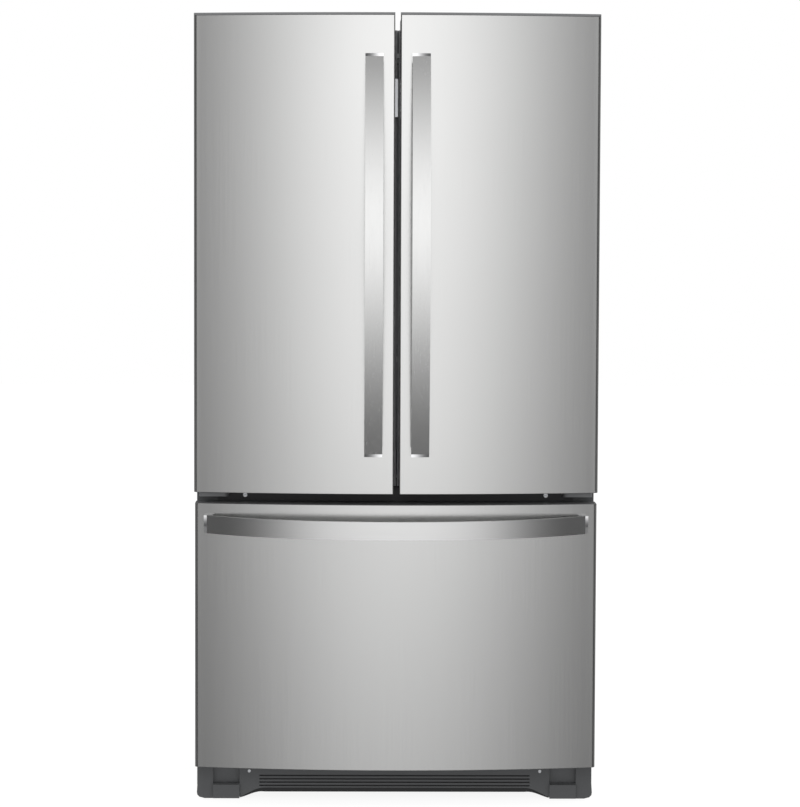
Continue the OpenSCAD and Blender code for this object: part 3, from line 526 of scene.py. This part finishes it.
# The two handle steels below are the front steel made brighter: painted light.
def door_handle_brightened_steel():
    return brushed_metal("brushed_handle", finishes().handle_steel, (1.0, 1.0, 0.01), 0.25, streak=0.06)


def drawer_handle_brightened_steel():
    return brushed_metal("brushed_drawer_handle", finishes().drawer_handle_brightened_steel, (0.01, 1.0, 1.0), 0.33,
                         streak=0.06)


def end_piece_metal():
    return polished_metal("polished_end_pieces", (0.86, 0.86, 0.87), 0.09)


def zinc_metal():
    return moulded("bright_zinc", (0.62, 0.63, 0.65), 0.32, grain=1500.0, bump=0.03, metallic=1.0)


# Cabinet paint darkened below its own grey: painted shade for the flange in the gaps and the toe pocket.
def shade_darkened_cabinet_paint():
    return moulded("shade_darkened_cabinet_paint", finishes().cabinet, 0.46, grain=520.0, bump=0.30, mottle=0.05, dust=0.10)


def dark_trim():
    return moulded("dark_trim", finishes().dark_trim, 0.5, grain=1100.0, bump=0.10, mottle=0.10)


def cap_plastic():
    return moulded("edge_cap_plastic", (0.16, 0.162, 0.166), 0.42, grain=900.0, bump=0.08)


# Grille plastic darkened below its own grey: painted shade for the grille and feet under the drawer.
def shade_darkened_grille_plastic():
    return moulded("shade_darkened_grille_plastic", finishes().grille, 0.48, grain=1000.0, bump=0.12, mottle=0.10)


def cover_plastic():
    return moulded("cover_plastic", (0.13, 0.134, 0.14), 0.45, grain=900.0, bump=0.12, dust=0.25)


# Seal rubber lightened above its own grey: painted light for the seals in the shaded gap.
def light_painted_seal_rubber():
    return moulded("light_painted_seal_rubber", finishes().seal, 0.62, grain=700.0, bump=0.06, mottle=0.10)


def liner_plastic():
    return moulded("liner_plastic", finishes().liner, 0.30, grain=420.0, bump=0.05, mottle=0.02)


def trim_plastic():
    return moulded("trim_plastic", (0.84, 0.85, 0.86), 0.24, grain=500.0, bump=0.03, mottle=0.02)


def clear_plastic():
    return moulded("clear_plastic", finishes().clear, 0.07, grain=250.0, bump=0.01, mottle=0.02,
                   transmission=0.86)


def shelf_glass():
    return moulded("shelf_glass", (0.84, 0.93, 0.90), 0.03, grain=60.0, bump=0.004, mottle=0.01,
                   transmission=0.95)


def black_paint():
    return moulded("black_paint", (0.010, 0.010, 0.011), 0.45, grain=600.0, bump=0.16, dust=0.2)


def galvanised():
    return moulded("galvanised", (0.52, 0.53, 0.545), 0.42, grain=70.0, bump=0.05, mottle=0.16, metallic=0.85)


def aluminium():
    return moulded("coil_aluminium", (0.78, 0.79, 0.80), 0.30, grain=1500.0, bump=0.04, metallic=1.0)


def foam():
    return moulded("foam", (0.88, 0.80, 0.58), 0.9, grain=260.0, bump=0.5, mottle=0.12)


def fan_plastic():
    return moulded("fan_plastic", (0.30, 0.31, 0.33), 0.42, grain=800.0, bump=0.08)


# ---------------------------------------------------------------- the bowed fronts

def face_at(x):
    """The front surface that the doors and the drawer share"""
    half = door_high.x
    bow = fronts().bow
    radius = (half * half + bow * bow) / (2 * bow)
    return cad_front() + radius - math.sqrt(radius * radius - x * x)


def cad_front():
    """The foremost line of the fronts, where both doors meet"""
    return door_low.y


def front_outline(x0, x1, r0, r1, back, inset):
    """Plan of a front from its back edge round both vertical edges to its back edge"""
    steps = fronts().arc_steps
    corner_steps = 8
    behind_corner = 0.004
    a, b = x0 + r0, x1 - r1
    ya, yb = face_at(a), face_at(b)
    points = [(x0 + inset, back), (x0 + inset, ya + r0 + behind_corner)]
    for k in range(corner_steps + 1):
        turn = math.radians(90 - 90 * k / corner_steps)
        points.append((a - (r0 - inset) * math.sin(turn), ya + r0 - (r0 - inset) * math.cos(turn)))
    for k in range(1, steps):
        x = a + (b - a) * k / steps
        points.append((x, face_at(x) + inset))
    for k in range(corner_steps + 1):
        turn = math.radians(90 * k / corner_steps)
        points.append((b + (r1 - inset) * math.sin(turn), yb + r1 - (r1 - inset) * math.cos(turn)))
    points += [(x1 - inset, yb + r1 + behind_corner), (x1 - inset, back)]
    return points


def front_sheet(name, node, body, x, radii, z, drop):
    """A folded steel front: a bowed sheet with rounded edges, open at the back"""
    sheet = fronts().sheet
    back = door_high.y
    roll = [(0.0, sheet), (0.0003, 0.0005), (0.0012, 0.0)]
    levels = [(z[0] + dz, inset, False) for dz, inset in roll]
    levels += [(z[1] - dz, inset, True) for dz, inset in reversed(roll)]
    levels += [(z[1] - 0.0004, sheet + 0.0003, True), (z[0] + 0.0004, sheet + 0.0003, False)]
    loops = []
    for height, inset, is_top in levels:
        outline = front_outline(x[0], x[1], radii[0], radii[1], back, inset)
        last = len(outline) - 1
        loop = []
        for index, (px, py) in enumerate(outline):
            lowered = is_top and drop and index in (0, 1, last - 1, last)
            loop.append((px, py, height - (drop if lowered else 0.0)))
        loops.append(loop)
    bm = bmesh.new()
    bridge(bm, loops, closed_loops=False, closed_way=True)
    return finish_mesh(name, bm, front_steel(), body, "brushed_front", node)


class FRIDGE_OT_fronts(bpy.types.Operator):
    """Build the steel fronts of the doors and the drawer"""
    bl_idname = "fridge.fronts"
    bl_label = "Steel fronts"

    def execute(self, context):
        sizes = fronts()
        gap, half = door_low.x, door_high.x
        z = (door_low.z, door_high.z)
        for side, body in ((-1, "left_door"), (1, "right_door")):
            x = sorted((side * gap, side * half))
            radii = (sizes.gap_round, sizes.edge_round)[::side]
            front_sheet(body + "_front", body + "_skin", body, x, radii, z, sizes.lip_drop)
        front_sheet("drawer_front", "drawer_skin", "freezer_drawer", (drawer_low.x, drawer_high.x),
                    (sizes.edge_round, sizes.edge_round), (drawer_low.z, drawer_high.z), 0.0)
        return {"FINISHED"}


class FRIDGE_OT_edge_caps(bpy.types.Operator):
    """Round the moulded caps that close the tops and bottoms of the fronts"""
    bl_idname = "fridge.edge_caps"
    bl_label = "Edge caps"

    def execute(self, context):
        for node in ("left_door_end_caps", "right_door_end_caps", "drawer_end_caps"):
            refined(node, 0.0005, cap_plastic(), "dark_trim")
        return {"FINISHED"}


# ---------------------------------------------------------------- handles

def bowed_bar(bm, along, stand, thickness, axis, low, high):
    """A bar that bows out: along are its places, stand gives its front at a place"""
    front = [(stand(v), v) for v in along]
    back = [(stand(v) + thickness, v) for v in reversed(along)]
    outline = front + back
    if axis == "Z":
        outline = [(v, y) for y, v in outline]
    add_prism(bm, outline, axis, low, high)


def end_piece(bm, tip, inner, joint, front, back, skin, axis, inside, outside):
    """A polished end: its face sweeps back from its inside edge to its outside edge"""
    sweep = fronts().cap_sweep
    steps = 12
    face = [(inside + (outside - inside) * k / steps, front + sweep * (k / steps) ** 2)
            for k in range(steps + 1)]
    outline = face + [(outside, skin), (inside, skin)]
    foot = [(inside, back), (outside, back), (outside, skin), (inside, skin)]
    if axis == "X":
        outline = [(y, v) for v, y in outline]
        foot = [(y, v) for v, y in foot]
    add_prism(bm, outline, axis, *sorted((tip, joint)))
    add_prism(bm, foot, axis, *sorted((joint, inner)))


def handle_parts(name, node, body, places, stand, skin, across, sides, bar_steel, droop=0.0):
    """A bowed bar with its two polished end pieces; sides are its inside and outside edges"""
    sizes = fronts()
    cap = sizes.cap_length
    thick = sizes.bar_thickness
    low, high = sorted(sides)
    first, last = places
    steps = 48
    bar_gap = 0.0004
    end_round = 0.0008
    inner = [first + cap, last - cap]
    along = [inner[0] + (inner[1] - inner[0]) * k / steps for k in range(steps + 1)]
    bm = bmesh.new()
    bowed_bar(bm, along, stand, thick, across, low, high)
    round_edges(bm, sizes.handle_round, 3)
    for vert in bm.verts if droop else ():
        vert.co.z -= droop * (1 - (vert.co.x / inner[1]) ** 2)
    finish_mesh(name + "_bar", bm, bar_steel, body, "brushed_handle", node)
    bm = bmesh.new()
    for tip, sign in ((first, 1), (last, -1)):
        joint = tip + sign * cap
        front = stand(joint)
        end_piece(bm, tip, tip + sign * sizes.end_length, joint, front, front + thick + bar_gap,
                  skin(tip), "Z" if across == "X" else "X", *sides)
    round_edges(bm, end_round, 2)
    finish_mesh(name + "_end_pieces", bm, end_piece_metal(), body, "brushed_handle")


class FRIDGE_OT_handles(bpy.types.Operator):
    """Build the bowed handle bars and their polished end pieces"""
    bl_idname = "fridge.handles"
    bl_label = "Handles"

    def execute(self, context):
        sizes = fronts()
        door_lift = 0.0006
        drawer_lift = 0.0002
        drawer_share = 0.98
        for side, body in ((-1, "left_door"), (1, "right_door")):
            low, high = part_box(body + "_handle")
            middle, half = (low.z + high.z) / 2, (high.z - low.z) / 2
            face = face_at(abs(low.x + high.x) / 2)
            tip = face - sizes.handle_end

            def stand(z):
                return tip - (tip - low.y) * (1 - ((z - middle) / half) ** 2)

            def skin(z):
                return face + door_lift

            sides = (high.x, low.x) if side < 0 else (low.x, high.x)
            handle_parts(body + "_handle", body + "_handle", body, (low.z, high.z), stand, skin,
                         "X", sides, door_handle_brightened_steel())
        low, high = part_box("drawer_handle")
        half = high.x
        end = face_at(half) - sizes.drawer_handle_end

        def bowed(x):
            share = (x / half) ** 2
            return end - (end - low.y) * (1 - 0.5 * share - 0.5 * share * share)

        def drawer_skin(x):
            return face_at(x * drawer_share) + drawer_lift

        handle_parts("drawer_handle", "drawer_handle", "freezer_drawer", (low.x, high.x), bowed,
                     drawer_skin, "Z", (high.z, low.z), drawer_handle_brightened_steel(), sizes.drawer_handle_droop)
        return {"FINISHED"}


# ---------------------------------------------------------------- seals

SEAL_PROFILE = (
    (1.0, 0.0), (1.0, 2.0), (0.0, 3.0), (0.0, 5.0), (1.8, 6.0), (1.8, 7.6), (0.3, 8.6), (0.3, 11.0),
    (1.0, 11.6), (15.0, 11.6), (15.7, 11.0), (15.7, 8.6), (14.2, 7.6), (14.2, 6.0), (16.0, 5.0),
    (16.0, 3.0), (15.0, 2.0), (15.0, 0.0))


class FRIDGE_OT_seals(bpy.types.Operator):
    """Build the folded door seals"""
    bl_idname = "fridge.seals"
    bl_label = "Door seals"

    def execute(self, context):
        seal_in = 0.010
        flap_back = 0.001
        flap = 0.002
        flap_lap = 0.001
        drawer_share = 14 / 16
        for side, body in ((-1, "left_door"), (1, "right_door")):
            low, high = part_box(body + "_gasket")
            outer = max(abs(low.x), abs(high.x))
            profile = [(u * MM, low.y + v * MM) for u, v in SEAL_PROFILE]
            bm = bmesh.new()
            sweep_frame(bm, profile, sorted((side * seal_in, side * outer)), (low.z, high.z))
            tip = high.x if side < 0 else low.x
            inner = sorted((tip, side * (seal_in + flap_lap)))
            y = low.y + flap_back
            add_box(bm, (inner[0], y, low.z), (inner[1], y + flap, wrap_high.z))
            finish_mesh(body + "_seal", bm, light_painted_seal_rubber(), body, "grey_seal", body + "_gasket")
        low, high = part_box("drawer_gasket")
        profile = [(u * MM * drawer_share, low.y + v * MM) for u, v in SEAL_PROFILE]
        bm = bmesh.new()
        sweep_frame(bm, profile, (low.x, high.x), (low.z, high.z))
        finish_mesh("drawer_seal", bm, light_painted_seal_rubber(), "freezer_drawer", "grey_seal", "drawer_gasket")
        return {"FINISHED"}


# ---------------------------------------------------------------- cabinet

class FRIDGE_OT_cabinet(bpy.types.Operator):
    """Build the folded cabinet wrapper, its back panel, the rail and the screws"""
    bl_idname = "fridge.cabinet"
    bl_label = "Cabinet"

    def execute(self, context):
        sheet = 0.0012
        fold = 0.003
        low, high = wrap_low, wrap_high
        side_in = high.x - liner_high.x
        top_in = high.z - liner_high.z
        rows = [(side_in, top_in, low.y)]
        for a in range(0, 91, 15):
            turn = math.radians(a)
            inset = fold - fold * math.sin(turn)
            rows.append((inset, inset, low.y + fold - fold * math.cos(turn)))
        rows += [(0.0, 0.0, high.y), (sheet, sheet, high.y), (sheet, sheet, low.y + fold),
                 (fold, fold, low.y + sheet), (side_in, top_in, low.y + sheet)]
        loops = []
        for dx, dz, y in rows:
            loops.append([(low.x + dx, y, low.z), (low.x + dx, y, high.z - dz),
                          (high.x - dx, y, high.z - dz), (high.x - dx, y, low.z)])
        bm = bmesh.new()
        bridge(bm, loops, closed_loops=False, closed_way=True)
        floor_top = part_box("freezer_liner")[0].z
        add_box(bm, (-liner_high.x, low.y, low.z), (liner_high.x, low.y + sheet, floor_top))
        finish_mesh("cabinet_shell", bm, shade_darkened_cabinet_paint(), "cabinet", "painted_cabinet", "cabinet_wrapper")
        self.back_panel()
        # The rail takes the near-black trim: painted shade for the shadow between the doors and the drawer,
        # over the rail's own dark grey.
        refined("center_rail", 0.0004, dark_trim(), "dark_trim")
        refined("cabinet_screws", 0.0006, zinc_metal(), "bright_zinc", 3)
        return {"FINISHED"}

    def back_panel(self):
        """The plate with its raised ribs and its screws"""
        low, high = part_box("back_panel")
        bm = bmesh.new()
        add_box(bm, low, high)
        rib = 0.0016
        sunk = 0.0004
        profile = [(0.0, high.y - sunk), (0.002, high.y + rib * 0.7), (0.006, high.y + rib),
                   (0.010, high.y + rib * 0.7), (0.012, high.y - sunk)]
        rows = 3
        margin = 0.07
        height = (high.z - low.z - margin * (rows + 1)) / rows
        for row in range(rows):
            z = low.z + margin + row * (height + margin)
            sweep_frame(bm, profile, (low.x + margin, high.x - margin), (z, z + height))
        finish_mesh("back_plate", bm, galvanised(), "cabinet", "galvanised", "back_panel")
        bm = bmesh.new()
        screws = 8
        screw_end = 0.03
        screw_side = 0.016
        screw_radius = 0.0048
        screw_head = 0.0025
        screw_round = 0.0008
        for side in (-1, 1):
            x = side * (high.x - screw_side)
            for k in range(screws):
                z = low.z + screw_end + k * (high.z - low.z - 2 * screw_end) / (screws - 1)
                add_rod(bm, (x, high.y - sunk, z), (x, high.y + screw_head, z), screw_radius, 20, screw_round)
        self.rear_strips(low)
        finish_mesh("back_plate_screws", bm, zinc_metal(), "cabinet", "bright_zinc")

    def rear_strips(self, plate_low):
        """Folded strips that close the side walls beside the machine cover"""
        sheet = 0.0008
        cover_gap = 0.0006
        plate_gap = 0.0003
        cover_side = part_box("machine_cover")[1].x + cover_gap
        bm = bmesh.new()
        for side in (-1, 1):
            x = sorted((side * cover_side, side * wrap_high.x))
            add_box(bm, (x[0], wrap_high.y, wrap_low.z), (x[1], wrap_high.y + sheet, plate_low.z - plate_gap))
        finish_mesh("rear_wall_strips", bm, shade_darkened_cabinet_paint(), "cabinet", "painted_cabinet")


class FRIDGE_OT_hinges(bpy.types.Operator):
    """Round and finish the hinges, their covers and the bar's brackets"""
    bl_idname = "fridge.hinges"
    bl_label = "Hinges"

    def execute(self, context):
        grey = moulded("hinge_paint", (0.155, 0.158, 0.163), 0.42, grain=800.0, bump=0.08)
        refined("top_hinges", 0.0008, zinc_metal(), "bright_zinc")
        refined("hinge_covers", 0.0013, cover_plastic(), "grey_cover", 3)
        refined("center_hinges", 0.0012, grey, "grey_hinge", 3)
        refined("flipper_brackets", 0.0006, zinc_metal(), "bright_zinc")
        refined("mullion_guide", 0.0008, trim_plastic(), "white_liner")
        bar = moulded("mullion_bar", (0.60, 0.61, 0.63), 0.34, grain=600.0, bump=0.05)
        refined("flipper_mullion", 0.0016, bar, "mullion_plastic", 3)
        return {"FINISHED"}


class FRIDGE_OT_toe(bpy.types.Operator):
    """Round and finish the toe grille, the base, the legs and the rollers"""
    bl_idname = "fridge.toe"
    bl_label = "Toe grille and feet"

    def execute(self, context):
        refined("toe_grille", 0.0006, shade_darkened_grille_plastic(), "grey_grille")
        # The base frame is near black: its front apron under the grille is painted shade for the dark band
        # below the grille, over the frame's own black paint.
        refined("base_frame", 0.0004, black_paint(), "black_steel")
        refined("leveling_legs", 0.0008, zinc_metal(), "bright_zinc")
        for node in ("front_rollers", "rear_rollers"):
            refined(node, 0.0012, dark_trim(), "dark_trim", 3)
        return {"FINISHED"}


# ---------------------------------------------------------------- inside

def is_rim(node, margin):
    """Picks a door liner's edges that stand proud of its flat plate"""
    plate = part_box(node)[0].y + margin
    return lambda edge: all(v.co.y > plate for v in edge.verts)


class FRIDGE_OT_liners(bpy.types.Operator):
    """Round and finish the inside linings and the ceiling panel"""
    bl_idname = "fridge.liners"
    bl_label = "Linings"

    def execute(self, context):
        for node in ("fridge_liner", "freezer_liner"):
            refined(node, 0.0009, liner_plastic(), "white_liner")
        plate = 0.004
        rim_round = 0.005
        for node in ("left_door_liner", "right_door_liner"):
            refined(node, rim_round, liner_plastic(), "white_liner", 4, is_rim(node, plate))
        refined("drawer_liner", 0.0008, liner_plastic(), "white_liner")
        for node in ("air_duct", "evaporator_cover"):
            refined(node, 0.0008, trim_plastic(), "white_liner")
        refined("control_panel", 0.0009, trim_plastic(), "white_liner", 3)
        for node in ("left_door_core", "right_door_core", "drawer_core", "cabinet_insulation"):
            frame["nodes"][node].data.materials.clear()
            frame["nodes"][node].data.materials.append(foam())
        return {"FINISHED"}


class FRIDGE_OT_shelves(bpy.types.Operator):
    """Round and finish the shelves, bins, baskets and slides"""
    bl_idname = "fridge.shelves"
    bl_label = "Shelves and bins"

    def execute(self, context):
        refined("shelf_tracks", 0.0004, zinc_metal(), "bright_zinc")
        refined("shelf_frames", 0.0012, trim_plastic(), "white_trim")
        refined("shelf_glass", 0.0008, shelf_glass(), "shelf_glass")
        for node in ("crisper_left", "crisper_right"):
            refined(node, 0.0011, clear_plastic(), "clear_bin", 3)
        for node in ("left_door_bins", "right_door_bins"):
            refined(node, 0.0009, clear_plastic(), "clear_bin", 3)
        refined("dairy_lid", 0.0006, clear_plastic(), "clear_bin")
        for node in ("freezer_bin", "freezer_basket"):
            refined(node, 0.0012, trim_plastic(), "white_trim", 3)
        for node in ("slide_outer", "slide_middle", "slide_inner"):
            refined(node, 0.0006, zinc_metal(), "bright_zinc")
        return {"FINISHED"}


class FRIDGE_OT_machine(bpy.types.Operator):
    """Finish the cooling parts in the machine compartment and behind the freezer"""
    bl_idname = "fridge.machine"
    bl_label = "Cooling parts"

    def execute(self, context):
        refined("compressor", 0.0012, black_paint(), "black_steel", 2, bend=math.radians(40))
        refined("fan_shroud", 0.0008, dark_trim(), "dark_trim")
        refined("drain_pan", 0.0006, cover_plastic(), "grey_cover")
        refined("machine_cover", 0.0004, galvanised(), "galvanised")
        refined("condenser_coil", 0.0, black_paint(), "black_steel")
        refined("evaporator_coil", 0.0, aluminium(), "coil_aluminium")
        for node in ("condenser_fan", "evaporator_fan"):
            refined(node, 0.0004, fan_plastic(), "fan_plastic")
        return {"FINISHED"}


# ---------------------------------------------------------------- stage

def bell(tree, value, centre, width):
    """A smooth bump of height 1 round centre"""
    off = maths(tree, "DIVIDE", maths(tree, "SUBTRACT", value, centre), width)
    return maths(tree, "EXPONENT", maths(tree, "MULTIPLY", maths(tree, "MULTIPLY", off, off), -0.5))


class FRIDGE_OT_stage(bpy.types.Operator):
    """Set the floor, the studio light and the camera"""
    bl_idname = "fridge.stage"
    bl_label = "Stage"

    def execute(self, context):
        scene = context.scene
        scene.view_settings.view_transform = "Standard"
        self.studio(scene)
        self.floor(scene)
        self.lamps(scene)
        self.camera(scene)
        return {"FINISHED"}

    def studio(self, scene):
        """White walls for the camera, and a soft glow ahead of the doors for what they reflect"""
        stage = scene.fridge_stage
        world = bpy.data.worlds.new("studio")
        scene.world = world
        world.cycles.sampling_method = "NONE"
        world.use_nodes = True
        tree = world.node_tree
        tree.nodes.clear()
        output = tree.nodes.new("ShaderNodeOutputWorld")
        split = tree.nodes.new("ShaderNodeSeparateXYZ")
        tree.links.new(tree.nodes.new("ShaderNodeTexCoord").outputs["Generated"], split.inputs[0])
        across, up, back = split.outputs["X"], split.outputs["Z"], split.outputs["Y"]
        dim = 0.05
        room_light = 0.16
        turned = 0.15
        ahead = maths(tree, "LESS_THAN", back, turned)
        glow = maths(tree, "MULTIPLY", bell(tree, across, 0.02, 0.25), bell(tree, up, 0.075, 0.22))
        glow = maths(tree, "MULTIPLY", maths(tree, "MULTIPLY", glow, ahead), stage.glow)
        aside = maths(tree, "GREATER_THAN", maths(tree, "ABSOLUTE", across), 0.93)
        behind = maths(tree, "GREATER_THAN", back, turned)
        below = maths(tree, "LESS_THAN", up, -0.52)
        room = maths(tree, "MAXIMUM", maths(tree, "MAXIMUM", aside, behind), below)
        level = maths(tree, "ADD", glow, maths(tree, "ADD", maths(tree, "MULTIPLY", room, room_light), dim))
        path = tree.nodes.new("ShaderNodeLightPath")
        soft = tree.nodes.new("ShaderNodeBackground")
        soft.inputs["Strength"].default_value = stage.fill
        glossy = tree.nodes.new("ShaderNodeBackground")
        tree.links.new(level, glossy.inputs["Strength"])
        white = tree.nodes.new("ShaderNodeBackground")
        white.inputs["Strength"].default_value = 1.0
        for node in (soft, glossy, white):
            node.inputs["Color"].default_value = WHITE
        reflect = tree.nodes.new("ShaderNodeMixShader")
        tree.links.new(path.outputs["Is Glossy Ray"], reflect.inputs[0])
        tree.links.new(soft.outputs[0], reflect.inputs[1])
        tree.links.new(glossy.outputs[0], reflect.inputs[2])
        seen = tree.nodes.new("ShaderNodeMixShader")
        tree.links.new(path.outputs["Is Camera Ray"], seen.inputs[0])
        tree.links.new(reflect.outputs[0], seen.inputs[1])
        tree.links.new(white.outputs[0], seen.inputs[2])
        tree.links.new(seen.outputs[0], output.inputs["Surface"])

    def floor(self, scene):
        """A pale floor that takes only a faint shade under the feet"""
        bm = bmesh.new()
        reach = 14.0
        below_feet = 0.0002
        grey = 0.16
        for x, y in ((-reach, -reach), (reach, -reach), (reach, reach), (-reach, reach)):
            bm.verts.new((x, y, -below_feet))
        bm.faces.new(bm.verts)
        mesh = bpy.data.meshes.new("studio_floor")
        bm.to_mesh(mesh)
        bm.free()
        floor = bpy.data.objects.new("studio_floor", mesh)
        scene.collection.objects.link(floor)
        material, tree, shader = new_material("studio_floor")
        shader.inputs["Base Color"].default_value = (grey, grey, grey, 1.0)
        shader.inputs["Roughness"].default_value = 0.9
        shader.inputs["Specular IOR Level"].default_value = 0.0
        shader.inputs["Emission Color"].default_value = WHITE
        shader.inputs["Emission Strength"].default_value = 0.90
        mesh.materials.append(material)
        floor.visible_glossy = False

    def lamps(self, scene):
        """Two broad soft lights, above the front and above the back"""
        for name, place, power, size in (("front_softbox", (-0.6, -4.5, 3.6), 60.0, 3.0),
                                         ("back_softbox", (1.2, 4.0, 3.4), 60.0, 3.0)):
            light = bpy.data.lights.new(name, "AREA")
            light.shape = "SQUARE"
            light.size = size
            light.energy = power
            lamp = bpy.data.objects.new(name, light)
            lamp.location = place
            aim = Vector((0, 0, 0.9)) - Vector(place)
            lamp.rotation_euler = aim.to_track_quat("-Z", "Y").to_euler()
            lamp.visible_glossy = False
            scene.collection.objects.link(lamp)

    def camera(self, scene):
        """A long lens that looks slightly down at the fronts"""
        stage = scene.fridge_stage
        data = bpy.data.cameras.new("camera")
        data.sensor_fit = "AUTO"
        data.sensor_width = 36.0
        data.lens = stage.lens
        data.shift_x = stage.shift_x
        data.shift_y = stage.shift_y
        data.clip_end = 100.0
        camera = bpy.data.objects.new("camera", data)
        ahead = Vector((math.sin(stage.yaw) * math.cos(stage.pitch),
                        math.cos(stage.yaw) * math.cos(stage.pitch), -math.sin(stage.pitch)))
        right = ahead.cross(Vector((0, 0, 1))).normalized()
        up = right.cross(ahead)
        lean_right = right * math.cos(stage.roll) + up * math.sin(stage.roll)
        lean_up = up * math.cos(stage.roll) - right * math.sin(stage.roll)
        turn = Matrix((lean_right, lean_up, -ahead)).transposed().to_4x4()
        place = Vector((stage.side, cad_front() - stage.distance, stage.height))
        camera.matrix_world = Matrix.Translation(place) @ turn
        scene.collection.objects.link(camera)
        scene.camera = camera


# ---------------------------------------------------------------- panel and running order

STEPS = (FRIDGE_OT_stage, FRIDGE_OT_fronts, FRIDGE_OT_edge_caps, FRIDGE_OT_handles, FRIDGE_OT_seals,
         FRIDGE_OT_cabinet, FRIDGE_OT_hinges, FRIDGE_OT_toe, FRIDGE_OT_liners, FRIDGE_OT_shelves,
         FRIDGE_OT_machine)


class FRIDGE_PT_pieces(bpy.types.Panel):
    """Lists the pieces and the sizes and colours they are made with"""
    bl_idname = "FRIDGE_PT_pieces"
    bl_label = "Refrigerator"
    bl_space_type = "VIEW_3D"
    bl_region_type = "UI"
    bl_category = "Refrigerator"

    def draw(self, context):
        layout = self.layout
        for step in STEPS:
            layout.operator(step.bl_idname)
        for settings in (context.scene.fridge_fronts, context.scene.fridge_finishes,
                         context.scene.fridge_stage):
            box = layout.box()
            for name in settings.bl_rna.properties.keys():
                if name not in ("rna_type", "name"):
                    box.prop(settings, name)


SETTINGS = (("fridge_fronts", FridgeFronts), ("fridge_finishes", FridgeFinishes),
            ("fridge_stage", FridgeStage))


def register():
    for name, group in SETTINGS:
        bpy.utils.register_class(group)
        setattr(bpy.types.Scene, name, PointerProperty(type=group))
    for step in STEPS:
        bpy.utils.register_class(step)
    bpy.utils.register_class(FRIDGE_PT_pieces)


def unregister():
    bpy.utils.unregister_class(FRIDGE_PT_pieces)
    for step in reversed(STEPS):
        bpy.utils.unregister_class(step)
    for name, group in reversed(SETTINGS):
        delattr(bpy.types.Scene, name)
        bpy.utils.unregister_class(group)


def main():
    register()
    for step in STEPS:
        area, action = step.bl_idname.split(".")
        getattr(getattr(bpy.ops, area), action)()


if __name__ == "__main__":
    main()
